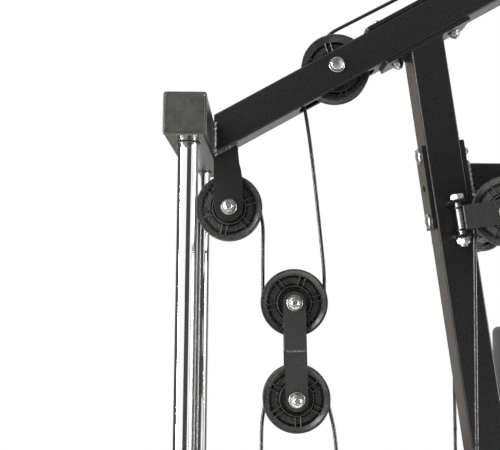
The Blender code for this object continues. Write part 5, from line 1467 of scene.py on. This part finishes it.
def lat_bar():
    keys = [
        (HALF_SPAN, -0.110), (BAR_BEND + 0.055, -0.036), (BAR_BEND + 0.02, -0.012),
        (BAR_BEND - 0.02, -0.001), (BAR_BEND - 0.10, 0),
    ]
    points = [vec(LAT_X, -y, BAR_Z + rise) for y, rise in keys]
    points += [vec(LAT_X, y, BAR_Z + rise) for y, rise in reversed(keys)]
    piece("bar", pipe(smooth_line(points, 8), BAR_R, 10), CHROME, "bar", "lat_bar")
    for side, name in SIDES.items():
        end, inner = (vec(LAT_X, side * y, BAR_Z + rise) for y, rise in keys[:2])
        grip = placed(bar_grip(), frame(end, X, (inner - end).cross(X)))
        piece("bar_grip_" + name, grip, RUBBER, "bar")
    bar_link()


def bar_grip():
    """Ribbed rubber grip from the bar's end along Z."""
    end_wall, valley = 0.003, 0.0146
    rings = [(-end_wall, 0.0120), (-end_wall * 0.4, 0.0148), (0.001, GRIP_R)]
    for z in (0.004 + i * 0.0075 for i in range(16)):
        rings += [(z, GRIP_R), (z + 0.0012, valley), (z + 0.0038, valley), (z + 0.0050, GRIP_R)]
    rings += [(GRIP_L - end_wall - 0.002, GRIP_R), (GRIP_L - end_wall, 0.0140)]
    return stepped(rings)


def bar_link():
    """Tab on the bar's middle, and the link that hangs it on the cable."""
    tab_r, tab_base = 0.016, 0.006
    centre = BAR_R + tab_r
    outline = arc((0, centre), tab_r, 0, 180, 24) + [(-tab_r, tab_base), (tab_r, tab_base)]
    tab = slab([outline, circle(0.0062, (0, centre + 0.004))], 0.006, 0.0008)
    piece("bar_tab", placed(tab, frame(vec(LAT_X, 0, BAR_Z), Y, Z)), CHROME, "bar")
    link_w, link_h = 0.024, 0.056
    base = BAR_Z + centre + tab_r - 2 * LINK_R - 0.006
    ends, top = link_w / 2 - LINK_R, base + link_h
    ring = arc((0, base + ends), ends, 180, 360, 16) + arc((0, top - ends), ends, 0, 180, 16)
    link = pipe([vec(LAT_X + u, 0, v) for u, v in ring], LINK_R, cyclic=True)
    piece("bar_link", link, ZINC, "bar")
    nut = sleeve(0.0050, 0.0031, -0.009, 0.009, (0.0004, 0.001), 32)
    piece("link_sleeve", moved(nut, LAT_X + ends, 0, (base + top) / 2), ZINC, "bar")


def smooth_line(points, steps):
    """Catmull-Rom curve through points."""
    padded = [points[0] * 2 - points[1], *points, points[-1] * 2 - points[-2]]
    line = []
    for a, b, c, d in zip(padded, padded[1:], padded[2:], padded[3:]):
        square, cube = 2 * a - 5 * b + 4 * c - d, 3 * b - a - 3 * c + d
        for t in (i / steps for i in range(steps)):
            line.append(0.5 * (2 * b + (c - a) * t + square * t * t + cube * t ** 3))
    return line + [points[-1]]


# Cables

def tangent(a, b):
    """Where a straight run leaves circle a and meets circle b. Each is (x, z, radius, way), way +1 for a
    run that goes round it anticlockwise; a point has radius 0."""
    (ax, az, ar, aw), (bx, bz, br, bw) = a, b
    dx, dz = bx - ax, bz - az
    bearing = atan2(dz, dx) + asin((ar * aw - br * bw) / hypot(dx, dz))
    nx, nz = sin(bearing), -cos(bearing)
    return vec(ax + nx * ar * aw, 0, az + nz * ar * aw), vec(bx + nx * br * bw, 0, bz + nz * br * bw)


def wrap(centre, start, end, way):
    """Points round a pulley's centre from one tangent point to another."""
    first = atan2(start.z - centre.z, start.x - centre.x)
    sweep = (atan2(end.z - centre.z, end.x - centre.x) - first) * way % tau * way
    count = max(2, round(abs(sweep) / radians(4)))
    angles = [first + sweep * i / count for i in range(count + 1)]
    return [vec(centre.x + CABLE_AT * cos(a), centre.y, centre.z + CABLE_AT * sin(a)) for a in angles]


def bulge(bow, along, left):
    """How far a stiff cable stands off its straight line, along from the pulley it bends round."""
    offset, rise, fade = bow
    return offset * (1 - exp(-((along / rise) ** 2))) * (1 - exp(-((left / rise) ** 2))) * exp(-along / fade)


def run(start, end, leave=None, meet=None):
    """Points of a free run, with the bulge of stiff cable where it leaves one pulley and meets the next."""
    length = (end - start).length
    count = max(4, round(length / CABLE_STEP))
    points = []
    for i in range(count + 1):
        along = length * i / count
        point = start.lerp(end, i / count)
        if leave:
            point += bulge(leave, along, length - along)
        if meet:
            point += bulge(meet, length - along, along)
        points.append(point)
    return points


def cable(name, points, body=None, node=None, between=None):
    """Cable that rides on one body, or that hangs between two bodies and is left where it lies, its transform
    baked; the two bodies are not used.
    """
    obj = dressed(name, pipe(points, CABLE_R, 5), CABLE)
    if body:
        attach(obj, body)
    if between:
        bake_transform(obj)
    if node:
        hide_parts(node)
    return obj


def spot(place, way):
    return (place.x, place.z, CABLE_AT, way)


def high_cable():
    stations = [
        (STEM_X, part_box("selector_stem")[1].z, 0, 1), spot(STACK_PULLEY, -1), spot(BLOCK_UPPER, 1),
        spot(BEAM_PULLEY, -1), spot(LAT_PULLEY, -1), (LAT_X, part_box("lat_bar")[1].z, 0, 1),
    ]
    stem, stack_block, block_beam, beam_lat, lat = (tangent(a, b) for a, b in zip(stations, stations[1:]))
    stem_run = cable("cable_stem_run", run(*stem), "frame", "high_cable")
    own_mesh(stem_run)
    bottom = BLOCK_UPPER - CABLE_AT * Z
    points = wrap(STACK_PULLEY, stem[1], stack_block[0], -1)
    points += run(*stack_block, (0.0062 * X, 0.020, 0.070), (-0.0012 * X, 0.020, 0.060))[1:-1]
    points += wrap(BLOCK_UPPER, stack_block[1], bottom, 1)
    cable("cable_stack_to_block", points, between=("frame", "floating_block"))
    points = wrap(BLOCK_UPPER, bottom, block_beam[0], 1)
    points += run(*block_beam, (0.0036 * X, 0.025, 0.200), (-0.0132 * X, 0.018, 0.065))[1:-1]
    points += wrap(BEAM_PULLEY, block_beam[1], beam_lat[0], -1)
    cable("cable_block_to_beam", points, between=("floating_block", "frame"))
    cable("cable_beam_run", run(*beam_lat, (0.0078 * BEAM_W, 0.014, 0.400)), "frame")
    points = wrap(LAT_PULLEY, beam_lat[1], lat[0], -1) + run(*lat)[1:]
    cable("cable_to_bar", points, between=("frame", "bar"))


def low_cable():
    block_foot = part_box("butterfly_block")[0].z
    hook_x = LEVER_PIVOT.x - SLIM_TUBE / 2 - 0.0215
    stations = [
        (HANGING_PULLEY.x, block_foot, 0, 1), spot(BASE_RETURN, -1), spot(BLOCK_LOWER, 1), spot(BASE_REAR, 1),
        spot(BASE_FRONT, 1), (hook_x, LOWER_ROD_Z + HOOK_RISE, 0, 1),
    ]
    hanging, rising, falling, rail, lever = (tangent(a, b) for a, b in zip(stations, stations[1:]))
    top = BLOCK_LOWER + CABLE_AT * Z
    bottom = BASE_RETURN - CABLE_AT * Z
    points = run(*hanging)[:-1] + wrap(BASE_RETURN, hanging[1], bottom, -1)
    cable("cable_hanging", points, None, "low_cable", ("hanging_block", "frame"))
    points = wrap(BASE_RETURN, bottom, rising[0], -1)
    points += run(*rising, meet=(0.0075 * X, 0.035, 0.400))[1:-1] + wrap(BLOCK_LOWER, rising[1], top, 1)
    cable("cable_return_to_block", points, between=("frame", "floating_block"))
    points = wrap(BLOCK_LOWER, top, falling[0], 1)
    points += run(*falling, (-0.0049 * X, 0.025, 0.400))[1:-1] + wrap(BASE_REAR, falling[1], rail[0], 1)
    cable("cable_block_to_base", points, between=("floating_block", "frame"))
    cable("cable_base_run", run(*rail), "frame")
    points = wrap(BASE_FRONT, rail[1], lever[0], 1) + run(*lever)[1:]
    cable("cable_to_lever", points, between=("frame", "lever"))
    ferrule = stepped([(-0.005, 0.0035), (-0.0042, 0.0040), (0.0042, 0.0040), (0.005, 0.0035)], 32)
    ferrule = moved(ferrule, HANGING_PULLEY.x, 0, block_foot - 0.0056)
    piece("hanging_ferrule", ferrule, ZINC, "hanging_block")


def butterfly_cables():
    for side, name in SIDES.items():
        matrix, fork, pivot = fork_matrix(side), "fork_" + name, ARM_PIVOT[side]
        inverse = matrix.inverted()
        away = pivot - matrix @ vec(SWIVEL_REACH, 0, CABLE_AT)
        bearing = atan2(away.y, away.x) + side * asin(CAM_R / hypot(away.x, away.y))
        first = bearing + side * pi / 2
        cam = [
            pivot + vec(CAM_R * cos(first - side * a), CAM_R * sin(first - side * a), 0)
            for a in (CAM_WRAP * i / 60 for i in range(61))
        ]
        low = HANGING_PULLEY + side * CABLE_AT * Y
        meet, foot = inverse @ cam[0], inverse @ low
        swivel = (SWIVEL_REACH, 0, CABLE_AT, -1)
        rise = tangent((foot.x, foot.z, 0, 1), swivel)
        leave = tangent(swivel, (meet.x, meet.z, 0, 1))
        over = [matrix @ p for p in wrap(vec(SWIVEL_REACH, 0, 0), rise[1], leave[0], -1)]
        # Straight before the cam, so that a turned fork bends the cable clear of the cam's rim
        clear = cam[0] + (over[-1] - cam[0]).normalized() * CAM_LEAD
        cable("cable_cam_" + name, [clear, *cam], "frame", "butterfly_cable" if side < 0 else None)
        cable("cable_to_cam_" + name, run(over[-1], clear), between=(fork, "frame"))
        cable("cable_over_swivel_" + name, over, fork)
        halfway = over[0].lerp(low, 0.3)
        spans = {
            "upper": (over[0], halfway, (fork, "frame")), "lower": (halfway, low, ("frame", "hanging_block")),
        }
        for label, (start, end, between) in spans.items():
            cable(f"cable_rise_{label}_{name}", run(start, end), between=between)
    loop = [
        HANGING_PULLEY + vec(0, CABLE_AT * cos(a), CABLE_AT * sin(a))
        for a in (pi + pi * i / 45 for i in range(46))
    ]
    cable("cable_hanging_loop", loop, "hanging_block")


# Stage, light and camera

CAMERA_AT = vec(RODS_X + 0.08509, -1.0321, 1.506)
FOCAL_PX = 756.05
PHOTO_W = 500
PHOTO_H = 450
AWAY_PX = (256.6, 286.17)  # where lines that run straight away from the camera's side meet
CAMERA_ROLL = 0.0094
SENSOR = 36.0
STAGE_BASE = -0.2  # below the floor, so that no gap shows
SIDE_CARD_H = 3.5
LIT_FROM_RODS = (0.2, 0, 1.5)


def camera():
    away = vec((AWAY_PX[0] - PHOTO_W / 2) / FOCAL_PX, -(AWAY_PX[1] - PHOTO_H / 2) / FOCAL_PX, 1).normalized()
    lean = vec(sin(CAMERA_ROLL), cos(CAMERA_ROLL), 0)
    up = (lean - lean.dot(away) * away).normalized()
    # Rows are the world's axes as the camera sees them, and Blender's cameras look along their own -Z
    turn = Matrix((up.cross(away), away, up)) @ Matrix.Diagonal((1, 1, -1))
    data = bpy.data.cameras.new("camera")
    data.sensor_width = SENSOR
    data.lens = SENSOR * FOCAL_PX / PHOTO_W
    data.clip_start = 0.05
    obj = linked("camera", data)
    obj.matrix_world = Matrix.Translation(CAMERA_AT) @ turn.to_4x4()
    bpy.context.scene.camera = obj


def from_rods(x, y, z):
    return vec(RODS_X + x, y, z)


def area_light(name, at, width, height, watts, colour=(1, 1, 1)):
    data = bpy.data.lights.new(name, "AREA")
    data.shape = "RECTANGLE"
    data.size = width
    data.size_y = height
    data.energy = watts
    data.color = colour
    obj = linked(name, data)
    obj.location = from_rods(*at)
    obj.rotation_mode = "QUATERNION"
    obj.rotation_quaternion = (from_rods(*LIT_FROM_RODS) - obj.location).to_track_quat("-Z", "Y")


def card(name, start, end, edge, colour):
    """Card that the camera doesn't see, from a line between two places over an edge square to it."""
    start, end = from_rods(*start), from_rods(*end)
    mesh = bpy.data.meshes.new(name)
    mesh.from_pydata([start, end, end + edge, start + edge], [], [(0, 1, 2, 3)])
    mesh.materials.append(plain(name, colour, 0.9, ((2, 2.0), 0.85, 0.95)))
    obj = linked(name, mesh)
    obj.visible_camera = False
    return obj


def plain(name, colour, roughness, rough):
    shader = Shader(name, colour, roughness)
    shader.rough(*rough)
    return shader.material


def studio():
    world = bpy.data.worlds.new("studio")
    world.use_nodes = True
    background = world.node_tree.nodes["Background"]
    background.inputs["Color"].default_value = (1, 1, 1, 1)
    background.inputs["Strength"].default_value = 1.0
    bpy.context.scene.world = world
    floor = extruded([rounded(9.0, 9.0, 0.5, 4)], 0.01)
    floor.materials.append(plain("studio_floor", (0.90, 0.875, 0.85), 0.6, ((3, 2.0), 0.55, 0.65)))
    obj = linked("studio_floor", floor)
    obj.location = (0, 0, -0.0055)
    area_light("key", (-2.2, -2.2, 3.3), 1.4, 1.4, 70)
    area_light("strip_left", (-2.4, -0.7, 1.4), 0.22, 2.2, 170)
    area_light("strip_right", (2.9, -0.6, 1.4), 0.22, 2.2, 120)
    area_light("low_front", (0.2, -1.9, 0.25), 2.0, 0.08, 9, (1.0, 0.95, 0.90))
    # Cards that the metal reflects, beside the camera and at both sides behind the gym
    base, rise = STAGE_BASE, SIDE_CARD_H * Z
    card("card_front", (-0.25, -2.4, base), (2.05, -2.4, base), 3.7 * Z, grey(0.010))
    card("card_left", (-2.6, -0.5, base), (-2.6, 4.3, base), rise, (0.050, 0.054, 0.062))
    card("card_back", (-2.6, 4.35, base), (-0.2, 4.35, base), rise, (0.47, 0.40, 0.335))
    card("card_right", (3.2, 0.75, base), (3.2, 4.3, base), rise, (0.12, 0.11, 0.10))
    # Warm ground behind the gym, which only gloss on its undersides takes up
    ground = card("card_ground", (-2.6, 0.6, 0.002), (2.6, 0.6, 0.002), 4.5 * Y, (0.37, 0.29, 0.23))
    ground.visible_diffuse = False
    ground.visible_shadow = False


base()
rods_and_head()
top_beam()
upright()
butterfly_frame()
swivel_brackets()
swivel_forks()
pulleys()
floating_block()
hanging_block()
stack()
butterfly_arms()
seat()
leg_lever()
lat_bar()
high_cable()
low_cable()
butterfly_cables()
camera()
studio()
bpy.context.scene.view_settings.view_transform = "Standard"
